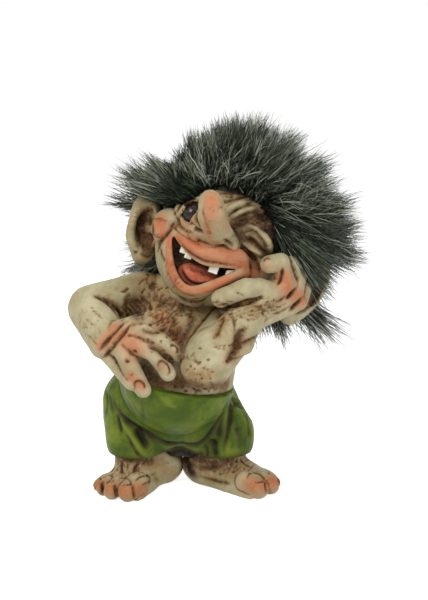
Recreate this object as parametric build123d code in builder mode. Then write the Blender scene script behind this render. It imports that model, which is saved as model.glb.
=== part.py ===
"""A laughing troll figure: hollow painted castings pinned together, with a fur wig.

All lengths are in millimetres. The troll stands on the plane z = 0 and looks along -Y, so a
viewer in front of it has +X on the right. "Right" and "left" in a piece's name are the troll's
own, so its right hand is on the viewer's left. X places the trunk and the head from the point
between the heels, and the finished pieces are then moved so that the box round them is centred.
"""

from build123d import *

import os
from math import asin, cos, pi, radians, sin

# Where the trunk and the head stand over the floor
hips_right = -14.5
hips_back = -2.0
waist_height = 47.0
waist_tilt = 10.0  # degrees, the waist is lower on the troll's left
head_over_neck = 10.2  # from the neck's end to the head's origin
head_right = 7.7
head_forward = 4.8
head_roll = 20.0  # degrees, the head leans on the left hand
head_pitch = 8.0  # degrees, the face looks up

# Feet
foot_length = 38.0
foot_width = 24.5
instep_height = 15.0
toe_length = 11.0
toe_radius = 3.3
right_foot_turn = 36.0  # degrees from straight ahead
left_foot_turn = 60.0
ankle_radius = 8.8
ankle_spigot_radius = 4.5
ankle_spigot_length = 9.0

# Trousers
hem_height = 17.0
hem_radius = 10.0
right_hem_out = 17.0  # from the hips' centre
left_hem_out = 18.5
right_hem_forward = 5.0
left_hem_forward = 1.0
leg_pouch_radius = 12.2
right_thigh_radius = 15.0
left_thigh_radius = 13.0
seat_width = 54.0
seat_right = -3.0  # of the hips' centre
seat_radius = 18.0
seat_centre_height = 34.0
belly_width = 46.0
belly_rise = 1.5  # of the belly's centre over the waist
belly_forward = 12.0
trouser_hollow_width = 26.0
trouser_hollow_depth = 24.0
trouser_hollow_length = 13.0

# Torso
torso_width = 48.0
torso_depth = 46.0
torso_length = 40.0  # from the waist to the shoulders' top
neck_radius = 10.5
neck_length = 9.0
neck_lean = 22.0  # degrees forward and to the viewer's right
neck_spigot_radius = 8.0
neck_spigot_length = 10.0
waist_spigot_width = 34.0
waist_spigot_depth = 32.0
waist_spigot_length = 7.0
torso_hollow_radius = 12.0
torso_hollow_top_radius = 8.0
torso_hollow_length = 20.0

# Arms
shoulder_spread = 42.0
shoulder_right = 7.0  # of the hips, because the trunk leans
shoulder_back = 3.5
shoulder_drop = 9.0  # under the torso's top
shoulder_radius = 9.3
left_shoulder_in = 2.0  # the left shoulder hangs
left_shoulder_drop = 6.0
left_shoulder_radius = 11.0
right_elbow_out = 19.5
right_elbow_forward = 12.5
right_elbow_drop = 3.0
right_elbow_radius = 9.3
right_wrist_in = 7.0
right_wrist_forward = 17.0
right_wrist_drop = 9.0
right_wrist_radius = 7.4
left_elbow_in = 14.5
left_elbow_forward = 36.5
left_elbow_drop = 13.5
left_elbow_radius = 9.8
left_wrist_out = 15.5
left_wrist_back = 3.0
left_wrist_rise = 17.5
left_wrist_radius = 6.8

# Hands
right_hand_dip = 25.0  # degrees below the horizontal
right_hand_turn = 23.0  # degrees towards the viewer
right_hand_length = 30.0
right_hand_width = 20.0
right_hand_thickness = 9.0
right_finger_radius = 3.2
left_hand_dip = -24.0
left_hand_turn = -32.0
left_hand_length = 27.0
left_hand_width = 18.0
left_hand_thickness = 9.0
left_finger_radius = 3.7

# Head
skull_width = 53.5
skull_right = 1.0  # of the head's origin, which is between the eyes and the ears
skull_up = 2.0
skull_back = 6.0
face_width = 43.0
face_right = -4.0
face_up = -9.0
face_forward = 5.0
mouth_width = 36.0
mouth_height = 25.0
mouth_right = -3.0
mouth_up = -13.5
mouth_depth = 11.0
lip_thickness = 2.2
tongue_length = 16.0
tongue_radius = 4.6
tooth_width = 3.2
tooth_length = 3.8
tooth_thickness = 2.6
tooth_rounding = 0.5
eye_radius = 4.2
eye_right = -15.6
eye_up = 2.5
eye_forward = 18.5
nose_length = 20.3
nose_radius = 5.0
nose_base_right = -5.5
nose_base_up = -3.0
nose_base_forward = 23.0
ear_height = 29.5
ear_width = 13.0
ear_dish_depth = 4.0
ear_rim = 2.6
ear_tilt = 14.0  # degrees, each ear's top leans outwards
ear_root_radius = 4.2
lobe_radius = 4.4
right_ear_out = 32.0
left_ear_out = 36.5
right_ear_drop = 9.0
left_ear_drop = 12.0
ear_back = 3.0
head_hollow_radius = 17.0
head_hollow_back = 4.0  # behind the skull's centre

# Wig
wig_backing = 1.2
hairline_lean = 39.0  # degrees that the hairline leans forward from upright
hairline_forward = 9.5  # from the skull's centre, towards the face
fur_depth = 13.0
lock_length = 36.0
lock_radius = 8.5
lock_tip_radius = 0.8

# Pins and fits
pin_radius = 1.2
pin_length = 13.0
pin_clearance = 0.05
spigot_clearance = 0.15
eye_clearance = 0.1
fur_clearance = 0.3
overrun = 1.0

# Shares of the sizes above that shape the lofts and place the small parts, chosen by hand
ankle_shares = {"right": 0.5, "left": 0.36}
heel_share = 0.3
thigh_shares = {"right": 0.92, "left": 0.62}
pouch_rise_share = 0.45
foot_section_shares = [
    (0.05, 0.52, 0.5), (0.12, 0.62, 0.75), (0.4, 0.72, 0.95), (0.68, 0.9, 0.68), (0.86, 0.96, 0.42)
]
toe_shares = [(0.33, 0.9, 1.3), (0.06, 0.95, 1.06), (-0.17, 0.91, 0.95), (-0.37, 0.83, 0.82)]
torso_section_shares = [
    (-0.175, 0, -0.13, 0.92, 1.04),
    (0.075, 0, -0.15, 0.96, 1.04),
    (0.325, 0.02, -0.09, 1, 0.96),
    (0.575, 0.05, 0, 1.04, 0.85),
    (0.825, 0.115, 0.11, 1, 0.63),
    (0.975, 0.18, 0.13, 0.71, 0.52),
]
right_digit_shares = {
    "index": [(0, 0.16, 0.1, 1.25), (0.42, 0.55, 0.42, 1.05), (0.67, 0.6, 0.46, 1), (0.9, 0.47, -0.08, 0.85)],
    "middle": [(0, 0.1, 0.15, 1.4), (0.42, 0.3, 0.5, 1.15), (0.68, 0.36, 0.6, 1.08), (0.93, 0.09, 0.11, 0.95)],
    "little": [(0, 0.04, 0.1, 1.25), (0.3, 0.06, 0.5, 1.15), (0.51, -0.12, 0.66, 1.08), (0.75, -0.42, 0.22, 0.95)],
    "thumb": [(0, 0.2, 0, 1.1), (0.2, 0.52, 0.2, 1), (0.36, 0.78, 0.24, 0.9), (0.47, 0.98, -0.24, 0.75)],
}
left_digit_shares = {
    "thumb": [(0.45, 0.2, 0.4, 1.1), (0.3, 0.45, 0.5, 1.02), (0.12, 0.6, 0.55, 1.02), (-0.19, 0.63, -0.19, 0.95)],
    "index": [(0, 0.1, 0, 1.3), (0.71, 0.23, 0.5, 1.05), (0.73, 0.69, 0.82, 0.95), (0.56, 0.79, 0.79, 0.9)],
    "middle": [(0, 0, 0, 1.3), (0.8, -0.06, 0.25, 1), (0.93, 0.2, 0.51, 0.9), (0.91, 0.52, 0.73, 0.85)],
    "little": [(0, -0.1, -0.1, 1.2), (0.84, -0.33, -0.07, 0.95), (0.97, -0.14, 0.12, 0.85)],
}
face_mound_shares = {
    "right_cheek": (-0.42, -0.1, 0.24, 0.28, 0.12, 90),
    "left_cheek": (0.28, -0.17, 0.28, 0.27, 0.115, 60),
    "right_lid": (-0.295, 0.055, 0.28, 0.27, 0.105, 10),
    "left_lid": (0.17, 0.015, 0.34, 0.32, 0.095, -8),
    "right_brow": (-0.25, 0.18, 0.27, 0.36, 0.075, 15),
    "left_brow": (0.17, 0.15, 0.31, 0.42, 0.075, -10),
    "chin": (-0.13, -0.5, 0.21, 0.28, 0.09, 0),
}
lip_outer_shares = [
    (-0.56, 0.38), (-0.28, 0.22), (-0.04, 0.24), (0.12, 0.38), (0.3, 0.3), (0.42, 0.04),
    (0.3, -0.22), (0.1, -0.42), (-0.1, -0.6), (-0.3, -0.56), (-0.5, -0.1),
]
lip_inner_shares = [
    (-0.46, 0.24), (-0.28, 0.06), (-0.02, -0.02), (0.26, 0.06), (0.14, -0.14), (0, -0.3),
    (-0.14, -0.42), (-0.3, -0.32), (-0.42, -0.06),
]
tooth_shares = [(-0.36, 0.1, 0.8), (-0.27, 0.02, 1.1), (-0.02, -0.07, 1.4), (0.16, -0.02, 1.2)]
nose_joint_shares = [(0, 0, 0, 1.2), (-0.17, 0.3, 0.45, 1.04), (-0.34, 0.62, 0.71, 1.1)]
tongue_place_share = (-0.06, -0.28)
ear_pin_share = 0.43
shoulder_pin_shares = {"right": 0.27, "left": 0.48}
nostril_shares = [(-0.32, 0.02, 0.1, 0.72), (0.32, 0.02, 0.1, 0.76)]
fur_depth_shares = {
    "fur_left_side": 1,
    "fur_left_nape": 1,
    "fur_right_nape": 0.9,
    "fur_right_side": 0.75,
    "fur_right_brow": 0.75,
    "fur_left_brow": 0.85,
}
lock_length_shares = {
    "fur_left_side": [0.85, 0.9, 0.95, 0.85, 0.9, 0.8],
    "fur_left_nape": [1, 0.98, 0.85, 0.9, 0.8, 0.75],
    "fur_right_nape": [0.75, 0.7, 0.7, 0.72, 0.68, 0.65],
    "fur_right_side": [0.75, 0.95, 0.6, 0.7, 0.6, 0.6],
    "fur_right_brow": [0.35, 0.6, 0.75, 0.5, 0.65, 0.6],
    "fur_left_brow": [0.7, 0.75, 0.8, 0.7, 0.75, 0.7],
}

# Where a gore's six locks stand, in degrees up from the hairline and round from the gore's middle
lock_places = [(8, -21), (8, 0), (8, 21), (36, -14), (38, 14), (64, 0)]


def side_sign(side):
    """-1 for the troll's right, which is the viewer's left, and 1 for its left."""
    return -1 if side == "right" else 1


def spheroid(frame, centre, length, width):
    """A ball of full width across and full length along the X axis of the frame."""
    with BuildPart() as ball:
        with BuildSketch(Plane(origin=centre, x_dir=(1, 0, 0), z_dir=(0, 0, -1))):
            with BuildLine():
                bow = EllipticalCenterArc((0, 0), length / 2, width / 2, start_angle=0, arc_size=180)
                Line(bow @ 1, bow @ 0)
            make_face()
        revolve(axis=Axis(centre, (1, 0, 0)))
    return ball.part.moved(frame.location)


def capsule(start, end, start_radius, end_radius):
    """A tapered run with a ball at each end, revolved from the line that touches both balls."""
    length = (end - start).length
    slope = asin((start_radius - end_radius) / length)
    side = Plane(origin=start, z_dir=end - start)

    def rim(radius, angle, along=0):
        return radius * cos(angle), along + radius * sin(angle)

    with BuildPart() as run:
        with BuildSketch(Plane(origin=start, x_dir=side.x_dir, z_dir=-side.y_dir)):
            with BuildLine():
                first = ThreePointArc(
                    rim(start_radius, -pi / 2), rim(start_radius, (slope - pi / 2) / 2), rim(start_radius, slope)
                )
                last = ThreePointArc(
                    rim(end_radius, slope, length), rim(end_radius, (slope + pi / 2) / 2, length),
                    rim(end_radius, pi / 2, length),
                )
                Line(first @ 1, last @ 0)
                Line(last @ 1, first @ 0)
            make_face()
        revolve(axis=Axis(start, end - start))
    return run.part


def limb(joints, radii):
    """A round limb of tapered runs, with a ball at each joint."""
    with BuildPart() as piece:
        for start, end, start_radius, end_radius in zip(joints, joints[1:], radii, radii[1:]):
            add(capsule(start, end, start_radius, end_radius))
    return piece.part


def rod(start, end, radius):
    """A plain round rod between two points, for pins, spigots and their holes."""
    with BuildPart() as piece:
        with BuildSketch(Plane(origin=start, z_dir=end - start)):
            Circle(radius)
        extrude(amount=(end - start).length)
    return piece.part


def pin(middle, along, grow=0):
    """A pin about its middle, or with grow its hole."""
    half = along.normalized() * (pin_length / 2 + grow)
    return rod(middle - half, middle + half, pin_radius + grow)


# Frames and points that the pieces share
up = Vector(0, 0, 1)
hips = Vector(hips_right, hips_back, 0)
waist = Plane(origin=hips + up * waist_height).rotated((0, waist_tilt, 0))
hems = {
    "right": hips + Vector(-right_hem_out, -right_hem_forward, hem_height),
    "left": hips + Vector(left_hem_out, -left_hem_forward, hem_height),
}

shoulder_centre = waist.origin + Vector(shoulder_right, shoulder_back, torso_length - shoulder_drop)
shoulders = {
    "right": shoulder_centre - Vector(shoulder_spread / 2, 0, 0),
    "left": shoulder_centre + Vector(shoulder_spread / 2 - left_shoulder_in, 0, -left_shoulder_drop),
}
elbows = {
    "right": shoulders["right"] + Vector(-right_elbow_out, -right_elbow_forward, -right_elbow_drop),
    "left": shoulders["left"] + Vector(-left_elbow_in, -left_elbow_forward, -left_elbow_drop),
}
wrists = {
    "right": elbows["right"] + Vector(right_wrist_in, -right_wrist_forward, -right_wrist_drop),
    "left": elbows["left"] + Vector(left_wrist_out, left_wrist_back, left_wrist_rise),
}

neck_top_share = torso_section_shares[-1]
neck_base = waist.origin + Vector(
    neck_top_share[1] * torso_width, neck_top_share[2] * torso_depth, neck_top_share[0] * torso_length
)
neck_axis = Vector(sin(radians(neck_lean)), -sin(radians(neck_lean)), cos(radians(neck_lean))).normalized()
neck_end = neck_base + neck_axis * neck_length

roll, pitch = radians(head_roll), radians(head_pitch)
head_side = Vector(cos(roll), 0, -sin(roll))
head_up = Vector(sin(roll), 0, cos(roll)) * cos(pitch) + Vector(0, sin(pitch), 0)
head_out = head_side.cross(head_up)
head_origin = neck_end + Vector(head_right, -head_forward, head_over_neck)
head_frame = Plane(origin=head_origin, x_dir=head_side, z_dir=head_out)
skull_centre = Vector(skull_right, skull_up, -skull_back)
face_centre = Vector(face_right, face_up, face_forward)
eye_centre = head_frame.from_local_coords(Vector(eye_right, eye_up, eye_forward))
nose_base = Vector(nose_base_right, nose_base_up, nose_base_forward)

lean = radians(hairline_lean)
fur_axis = head_up * sin(lean) - head_out * cos(lean)
fur_frame = Plane(origin=head_frame.from_local_coords(skull_centre), x_dir=head_side, z_dir=fur_axis)
hairline = fur_frame.offset(-hairline_forward)


def hand_frame(side, dip, turn):
    """The frame at a wrist: X along the hand, Z away from the troll."""
    dip, turn = radians(dip), radians(turn)
    along = Vector(cos(dip) * cos(turn), -cos(dip) * sin(turn), -sin(dip))
    across = Vector(-along.Z, 0, along.X).normalized()
    return Plane(origin=wrists[side], x_dir=along, z_dir=along.cross(across))


right_hand_frame = hand_frame("right", right_hand_dip, right_hand_turn)
left_hand_frame = hand_frame("left", left_hand_dip, left_hand_turn)
wrist_pins = {
    "right": (wrists["right"] + right_hand_frame.x_dir * right_wrist_radius, right_hand_frame.x_dir),
    "left": (wrists["left"] + left_hand_frame.x_dir * left_wrist_radius, left_hand_frame.x_dir),
}


def shoulder_pin(side):
    """The middle and direction of a shoulder's pin, which is half in the trunk."""
    upper_arm = elbows[side] - shoulders[side]
    return shoulders[side] + upper_arm * shoulder_pin_shares[side], upper_arm


shoulder_pins = {s: shoulder_pin(s) for s in ("right", "left")}


def ear_frame(side, out, drop):
    """The frame of an ear: X up the ear, Z to the front."""
    place = head_frame.from_local_coords(Vector(side_sign(side) * out + skull_right, -drop, -ear_back))
    tilt = radians(ear_tilt)
    ear_up = head_up * cos(tilt) + head_side * side_sign(side) * sin(tilt)
    return Plane(origin=place, x_dir=ear_up, z_dir=head_out)


def ear_pin(side, drop):
    """The middle and direction of an ear's pin, which is half in the skull."""
    reach = skull_right + side_sign(side) * skull_width * ear_pin_share
    return head_frame.from_local_coords(Vector(reach, -drop, -ear_back)), head_side


ear_frames = {
    "right": ear_frame("right", right_ear_out, right_ear_drop),
    "left": ear_frame("left", left_ear_out, left_ear_drop),
}
ear_pins = {"right": ear_pin("right", right_ear_drop), "left": ear_pin("left", left_ear_drop)}
nose_slant = Vector(*nose_joint_shares[1][:3])
nose_pin = (
    head_frame.from_local_coords(nose_base),
    head_side * nose_slant.X + head_up * nose_slant.Y + head_out * nose_slant.Z,
)


def ball(centre, radius):
    """A ball about a point."""
    with BuildPart() as piece:
        with Locations(centre):
            Sphere(radius)
    return piece.part


def skull_ball(grow=0):
    """The skull's ball, or a ball larger by grow all round."""
    return ball(head_frame.from_local_coords(skull_centre), skull_width / 2 + grow)


def face_ball(grow=0):
    """The face's ball, or a ball larger by grow all round."""
    return ball(head_frame.from_local_coords(face_centre), face_width / 2 + grow)


def main_body(piece):
    """The piece without the slivers that a neighbour's surface cuts off it."""
    return piece.solids().sort_by(SortBy.VOLUME)[-1]


# Feet: one casting each, with a spigot that stands in the trouser leg

def foot(side):
    """A bare foot with four toes, its ankle and its spigot."""
    turn = radians(right_foot_turn if side == "right" else left_foot_turn)
    ahead = Vector(side_sign(side) * sin(turn), -cos(turn), 0)
    hem = hems[side]
    heel = Vector(hem.X, hem.Y, 0) - ahead * foot_length * ankle_shares[side]
    frame = Plane(origin=heel, x_dir=ahead, z_dir=up)
    with BuildPart() as casting:
        for along, width, height in foot_section_shares:
            origin = frame.from_local_coords(Vector(along * foot_length, 0, 0))
            with BuildSketch(Plane(origin=origin, x_dir=frame.y_dir, z_dir=ahead)):
                Ellipse(width * foot_width / 2, height * instep_height)
        loft()
        heel_ball = heel_share * foot_width
        with Locations(frame.from_local_coords(Vector(heel_ball, 0, heel_ball / 2))):
            Sphere(heel_ball)
        for across, along, size in toe_shares:
            radius = toe_radius * size
            tip = Vector(along * foot_length, -side_sign(side) * across * foot_width, radius * 0.9)
            root = tip - Vector(toe_length * size - radius * 2, 0, -radius / 2)
            add(capsule(frame.from_local_coords(root), frame.from_local_coords(tip), radius, radius * 0.96))
        add(rod(Vector(hem.X, hem.Y, instep_height / 2), hem, ankle_radius))
        add(rod(hem, hem + up * ankle_spigot_length, ankle_spigot_radius))
        split(bisect_by=Plane.XY, keep=Keep.TOP)
    return casting.part


right_foot = foot("right")
left_foot = foot("left")


# Trousers: a hollow casting with the belly hanging over the legs

with BuildPart() as trousers:
    seat_end = Vector(seat_width / 2 - seat_radius, 0, 0)
    seat_middle = hips + Vector(seat_right, 0, seat_centre_height)
    add(capsule(seat_middle - seat_end, seat_middle + seat_end, seat_radius, seat_radius))
    for side, thigh_radius in (("right", right_thigh_radius), ("left", left_thigh_radius)):
        thigh = hips + Vector((hems[side] - hips).X * thigh_shares[side], 0, seat_centre_height)
        pouch = hems[side] + up * (leg_pouch_radius * pouch_rise_share)
        add(limb([thigh, pouch, hems[side]], [thigh_radius, leg_pouch_radius, hem_radius]))
    add(ball(waist.origin + Vector(0, -belly_forward, belly_rise), belly_width / 2))
    split(bisect_by=waist, keep=Keep.BOTTOM)
    split(bisect_by=Plane.XY.offset(hem_height), keep=Keep.TOP)
    with BuildSketch(waist):
        Ellipse(waist_spigot_width / 2 + spigot_clearance, waist_spigot_depth / 2 + spigot_clearance)
    extrude(amount=-waist_spigot_length - spigot_clearance, mode=Mode.SUBTRACT)
    with BuildSketch(waist.offset(-waist_spigot_length)):
        Ellipse(trouser_hollow_width / 2, trouser_hollow_depth / 2)
    extrude(amount=-trouser_hollow_length, mode=Mode.SUBTRACT)
    for side in ("right", "left"):
        depth = ankle_spigot_length + spigot_clearance
        add(rod(hems[side] - up * overrun, hems[side] + up * depth, ankle_spigot_radius + spigot_clearance),
            mode=Mode.SUBTRACT)


# Torso: a hollow casting that plugs into the trousers, with the neck's spigot on top

with BuildPart() as torso:
    for rise, right, back, width, depth in torso_section_shares:
        centre = waist.origin + Vector(right * torso_width, back * torso_depth, rise * torso_length)
        with BuildSketch(Plane(origin=centre)):
            Ellipse(width * torso_width / 2, depth * torso_depth / 2)
    loft()
    add(rod(neck_base - neck_axis * neck_radius, neck_end, neck_radius))
    add(rod(neck_end, neck_end + neck_axis * neck_spigot_length, neck_spigot_radius))
    split(bisect_by=waist, keep=Keep.TOP)
    with BuildSketch(waist):
        Ellipse(waist_spigot_width / 2, waist_spigot_depth / 2)
    extrude(amount=-waist_spigot_length)
    hollow_base = waist.origin + up * (torso_hollow_radius - waist_spigot_length * 1.2)
    hollow_top = hollow_base + up * torso_hollow_length
    add(capsule(hollow_base, hollow_top, torso_hollow_radius, torso_hollow_top_radius), mode=Mode.SUBTRACT)
    for middle, along in shoulder_pins.values():
        add(pin(middle, along, pin_clearance), mode=Mode.SUBTRACT)


# Head: a hollow casting with the mouth, an eye socket and the lids, which sits on the neck

def mouth_prism(outline_shares, start):
    """Everything inside one of the mouth's two outlines, from a depth under the face outwards."""
    points = [(mouth_right + u * mouth_width, mouth_up + v * mouth_height) for u, v in outline_shares]
    with BuildPart() as prism:
        with BuildSketch(head_frame.offset(face_forward + face_width / 2 - start)):
            with BuildLine():
                Spline(*points, periodic=True)
            make_face()
        extrude(amount=face_width)
    return prism.part


lips = mouth_prism(lip_outer_shares, mouth_depth * 1.4) & face_ball(lip_thickness)
mouth = mouth_prism(lip_inner_shares, mouth_depth)

with BuildPart() as head:
    add(skull_ball())
    add(face_ball())
    for u, v, w, length, thickness, turn in face_mound_shares.values():
        centre = Vector(u, v, w) * skull_width
        half = Vector(cos(radians(turn)), sin(radians(turn)), 0) * (length / 2 - thickness) * skull_width
        ends = [head_frame.from_local_coords(centre - half), head_frame.from_local_coords(centre + half)]
        add(capsule(*ends, thickness * skull_width, thickness * skull_width))
    add(lips)
    add(mouth, mode=Mode.SUBTRACT)
    hollow = head_frame.from_local_coords(skull_centre - Vector(0, 0, head_hollow_back))
    add(ball(hollow, head_hollow_radius), mode=Mode.SUBTRACT)
    add(ball(eye_centre, eye_radius + eye_clearance), mode=Mode.SUBTRACT)
    neck_room = neck_spigot_length + spigot_clearance
    add(rod(neck_end, neck_end + neck_axis * neck_room, neck_spigot_radius + spigot_clearance), mode=Mode.SUBTRACT)
    add(torso.part, mode=Mode.SUBTRACT)
    for side in ("right", "left"):
        add(pin(*ear_pins[side], pin_clearance), mode=Mode.SUBTRACT)
    add(pin(*nose_pin, pin_clearance), mode=Mode.SUBTRACT)


# Nose: pinned to the face, with its two nostrils

with BuildPart() as nose:
    joints = [nose_base + Vector(u, v, w) * nose_length for u, v, w, size in nose_joint_shares]
    joints = [head_frame.from_local_coords(joint) for joint in joints]
    add(limb(joints, [nose_radius * size for u, v, w, size in nose_joint_shares]))
    for u, v, w, size in nostril_shares:
        wing = nose_base + Vector(u, v, w) * nose_length
        with Locations(head_frame.from_local_coords(wing)):
            Sphere(nose_radius * size)
    add(head.part, mode=Mode.SUBTRACT)
    add(pin(*nose_pin, pin_clearance), mode=Mode.SUBTRACT)


# Ears: shells with a dish that opens to the front, each on a root against the skull

def ear(side):
    """A large ear with its lobe, cut to sit against the head."""
    frame = ear_frames[side]
    inwards = -head_side * side_sign(side)
    with BuildPart() as shell:
        add(spheroid(frame, (0, 0, 0), ear_height, ear_width))
        dish_place = (0, 0, ear_width / 2 - ear_dish_depth + (ear_width - ear_rim * 2) / 2)
        add(spheroid(frame, dish_place, ear_height - ear_rim * 3, ear_width - ear_rim), mode=Mode.SUBTRACT)
        with Locations(frame.origin - frame.x_dir * (ear_height - lobe_radius * 2) / 2):
            Sphere(lobe_radius)
        add(capsule(frame.origin + inwards * ear_width, frame.origin, ear_root_radius, ear_root_radius * 0.8))
        add(skull_ball(), mode=Mode.SUBTRACT)
        add(face_ball(), mode=Mode.SUBTRACT)
        add(pin(*ear_pins[side], pin_clearance), mode=Mode.SUBTRACT)
    return shell.part


right_ear = ear("right")
left_ear = ear("left")


# What sits in the face: the glass eye, the tongue and the upper teeth

with BuildPart() as right_eye:
    with Locations(eye_centre):
        Sphere(eye_radius)

with BuildPart() as tongue:
    u, v = tongue_place_share
    mouth_floor = face_forward + face_width / 2 - mouth_depth
    place = Vector(mouth_right + u * mouth_width, mouth_up + v * mouth_height, mouth_floor)
    reach = Vector(cos(roll), -sin(roll), 0) * (tongue_length / 2 - tongue_radius)
    ends = [head_frame.from_local_coords(place - reach), head_frame.from_local_coords(place + reach)]
    add(capsule(*ends, tongue_radius, tongue_radius))
    add(head.part, mode=Mode.SUBTRACT)

with BuildPart() as upper_teeth:
    for u, v, size in tooth_shares:
        across = mouth_right + u * mouth_width
        along = mouth_up + v * mouth_height
        spread = ((across - face_right) * 2 / face_width) ** 2 + ((along - face_up) * 2 / face_width) ** 2
        root = (across, along, face_forward + face_width / 2 * (1 - spread) ** 0.5 - tooth_thickness / 2)
        with BuildPart(mode=Mode.PRIVATE) as tooth:
            Box(tooth_width * size, tooth_length * 2, tooth_thickness)
            fillet(tooth.edges(), tooth_rounding)
        add(tooth.part.moved(head_frame.location * Location(root)))
    add(head.part, mode=Mode.SUBTRACT)


# Arms and hands, cut to lie against the trunk and the face

with BuildPart() as right_arm:
    add(limb([shoulders["right"], elbows["right"], wrists["right"]],
             [shoulder_radius, right_elbow_radius, right_wrist_radius]))
    add(torso.part, mode=Mode.SUBTRACT)
    for joint in (shoulder_pins["right"], wrist_pins["right"]):
        add(pin(*joint, pin_clearance), mode=Mode.SUBTRACT)

with BuildPart() as left_arm:
    add(limb([shoulders["left"], elbows["left"], wrists["left"]],
             [left_shoulder_radius, left_elbow_radius, left_wrist_radius]))
    add(torso.part, mode=Mode.SUBTRACT)
    add(head.part, mode=Mode.SUBTRACT)
    for joint in (shoulder_pins["left"], wrist_pins["left"]):
        add(pin(*joint, pin_clearance), mode=Mode.SUBTRACT)


def hand(frame, sizes, digit_shares, finger_radius):
    """Three fingers and a thumb, each from its bone in the palm, laid out in shares of the hand."""
    length, width, thickness = sizes
    with BuildPart() as palm:
        for digit in digit_shares.values():
            joints = [Vector(u * length, v * width, w * thickness) for u, v, w, size in digit]
            joints = [frame.from_local_coords(joint) for joint in joints]
            add(limb(joints, [finger_radius * size for u, v, w, size in digit]))
    return palm.part


with BuildPart() as right_hand:
    sizes = (right_hand_length, right_hand_width, right_hand_thickness)
    add(hand(right_hand_frame, sizes, right_digit_shares, right_finger_radius))
    for neighbour in (right_arm.part, left_arm.part, torso.part, trousers.part):
        add(neighbour, mode=Mode.SUBTRACT)
    add(pin(*wrist_pins["right"], pin_clearance), mode=Mode.SUBTRACT)

with BuildPart() as left_hand:
    sizes = (left_hand_length, left_hand_width, left_hand_thickness)
    add(hand(left_hand_frame, sizes, left_digit_shares, left_finger_radius))
    for neighbour in (left_arm.part, torso.part, head.part):
        add(neighbour, mode=Mode.SUBTRACT)
    add(pin(*wrist_pins["left"], pin_clearance), mode=Mode.SUBTRACT)


# Wig: a fabric cap on the skull, and six gores of fur whose locks stand out all round

with BuildPart() as wig_cap:
    add(skull_ball(wig_backing))
    split(bisect_by=hairline, keep=Keep.TOP)
    for neighbour in (skull_ball(), face_ball(), head.part, torso.part, left_arm.part, right_ear, left_ear):
        add(neighbour, mode=Mode.SUBTRACT)


def fur_point(latitude, longitude, distance):
    """A point round the skull: the longitude runs from the troll's left down to the nape."""
    latitude, longitude = radians(latitude), radians(longitude)
    along = Vector(cos(latitude) * cos(longitude), cos(latitude) * sin(longitude), sin(latitude))
    return fur_frame.from_local_coords(along * distance)


def fur_gore(longitude, depth, length_shares):
    """One sixth of the fur: a thick shell and its locks, between two seams that meet at the crown."""
    half_angle = 180 / len(lock_length_shares)
    backed_radius = skull_width / 2 + wig_backing + fur_clearance
    reach = (skull_width + lock_length) * 2
    apex = Vector(fur_clearance / 2 / sin(radians(half_angle)), 0)
    corners = [apex + Vector(reach, 0).rotate(Axis.Z, turn) for turn in (-half_angle, half_angle)]
    with BuildPart() as gore:
        add(skull_ball(wig_backing + depth))
        for (latitude, offset), length_share in zip(lock_places, length_shares):
            root = fur_point(latitude, longitude + offset, backed_radius)
            tip = fur_point(latitude, longitude + offset, backed_radius + lock_length * length_share)
            add(capsule(root, tip, lock_radius, lock_tip_radius))
        with BuildSketch(hairline):
            with BuildLine():
                Polyline(*[corner.rotate(Axis.Z, longitude) for corner in (apex, *corners)], close=True)
            make_face()
        extrude(amount=reach, mode=Mode.INTERSECT)
        add(skull_ball(wig_backing + fur_clearance), mode=Mode.SUBTRACT)
        castings = (head.part, torso.part, right_arm.part, left_arm.part, left_hand.part, right_ear, left_ear)
        for neighbour in castings:
            add(neighbour, mode=Mode.SUBTRACT)
    return main_body(gore.part)


# Everything is gathered, moved so that its box stands centred over the origin, and written

pieces = {
    "torso": torso.part,
    "trousers": trousers.part,
    "right_foot": right_foot,
    "left_foot": left_foot,
    "right_arm": main_body(right_arm.part),
    "left_arm": main_body(left_arm.part),
    "right_hand": main_body(right_hand.part),
    "left_hand": main_body(left_hand.part),
    "head": head.part,
    "nose": main_body(nose.part),
    "right_ear": main_body(right_ear),
    "left_ear": main_body(left_ear),
    "right_eye": right_eye.part,
    "tongue": tongue.part,
    "upper_teeth": upper_teeth.part,
    "wig_cap": main_body(wig_cap.part),
    "right_shoulder_pin": pin(*shoulder_pins["right"]),
    "left_shoulder_pin": pin(*shoulder_pins["left"]),
    "right_wrist_pin": pin(*wrist_pins["right"]),
    "left_wrist_pin": pin(*wrist_pins["left"]),
    "right_ear_pin": pin(*ear_pins["right"]),
    "left_ear_pin": pin(*ear_pins["left"]),
    "nose_pin": pin(*nose_pin),
}
for place, (label, length_shares) in enumerate(lock_length_shares.items()):
    longitude = place * 360 / len(lock_length_shares)
    pieces[label] = fur_gore(longitude, fur_depth * fur_depth_shares[label], length_shares)

box = Compound(children=[Part() + piece for piece in pieces.values()]).bounding_box()
centring = Location((-box.center().X, -box.center().Y, 0))

os.makedirs("parts", exist_ok=True)
for label, piece in pieces.items():
    piece = piece.moved(centring)
    piece.label = label
    export_step(piece, f"parts/{label}.step")
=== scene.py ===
from math import cos, pi, radians, sin

import bpy
import numpy as np
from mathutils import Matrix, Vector
from mathutils.bvhtree import BVHTree


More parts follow.
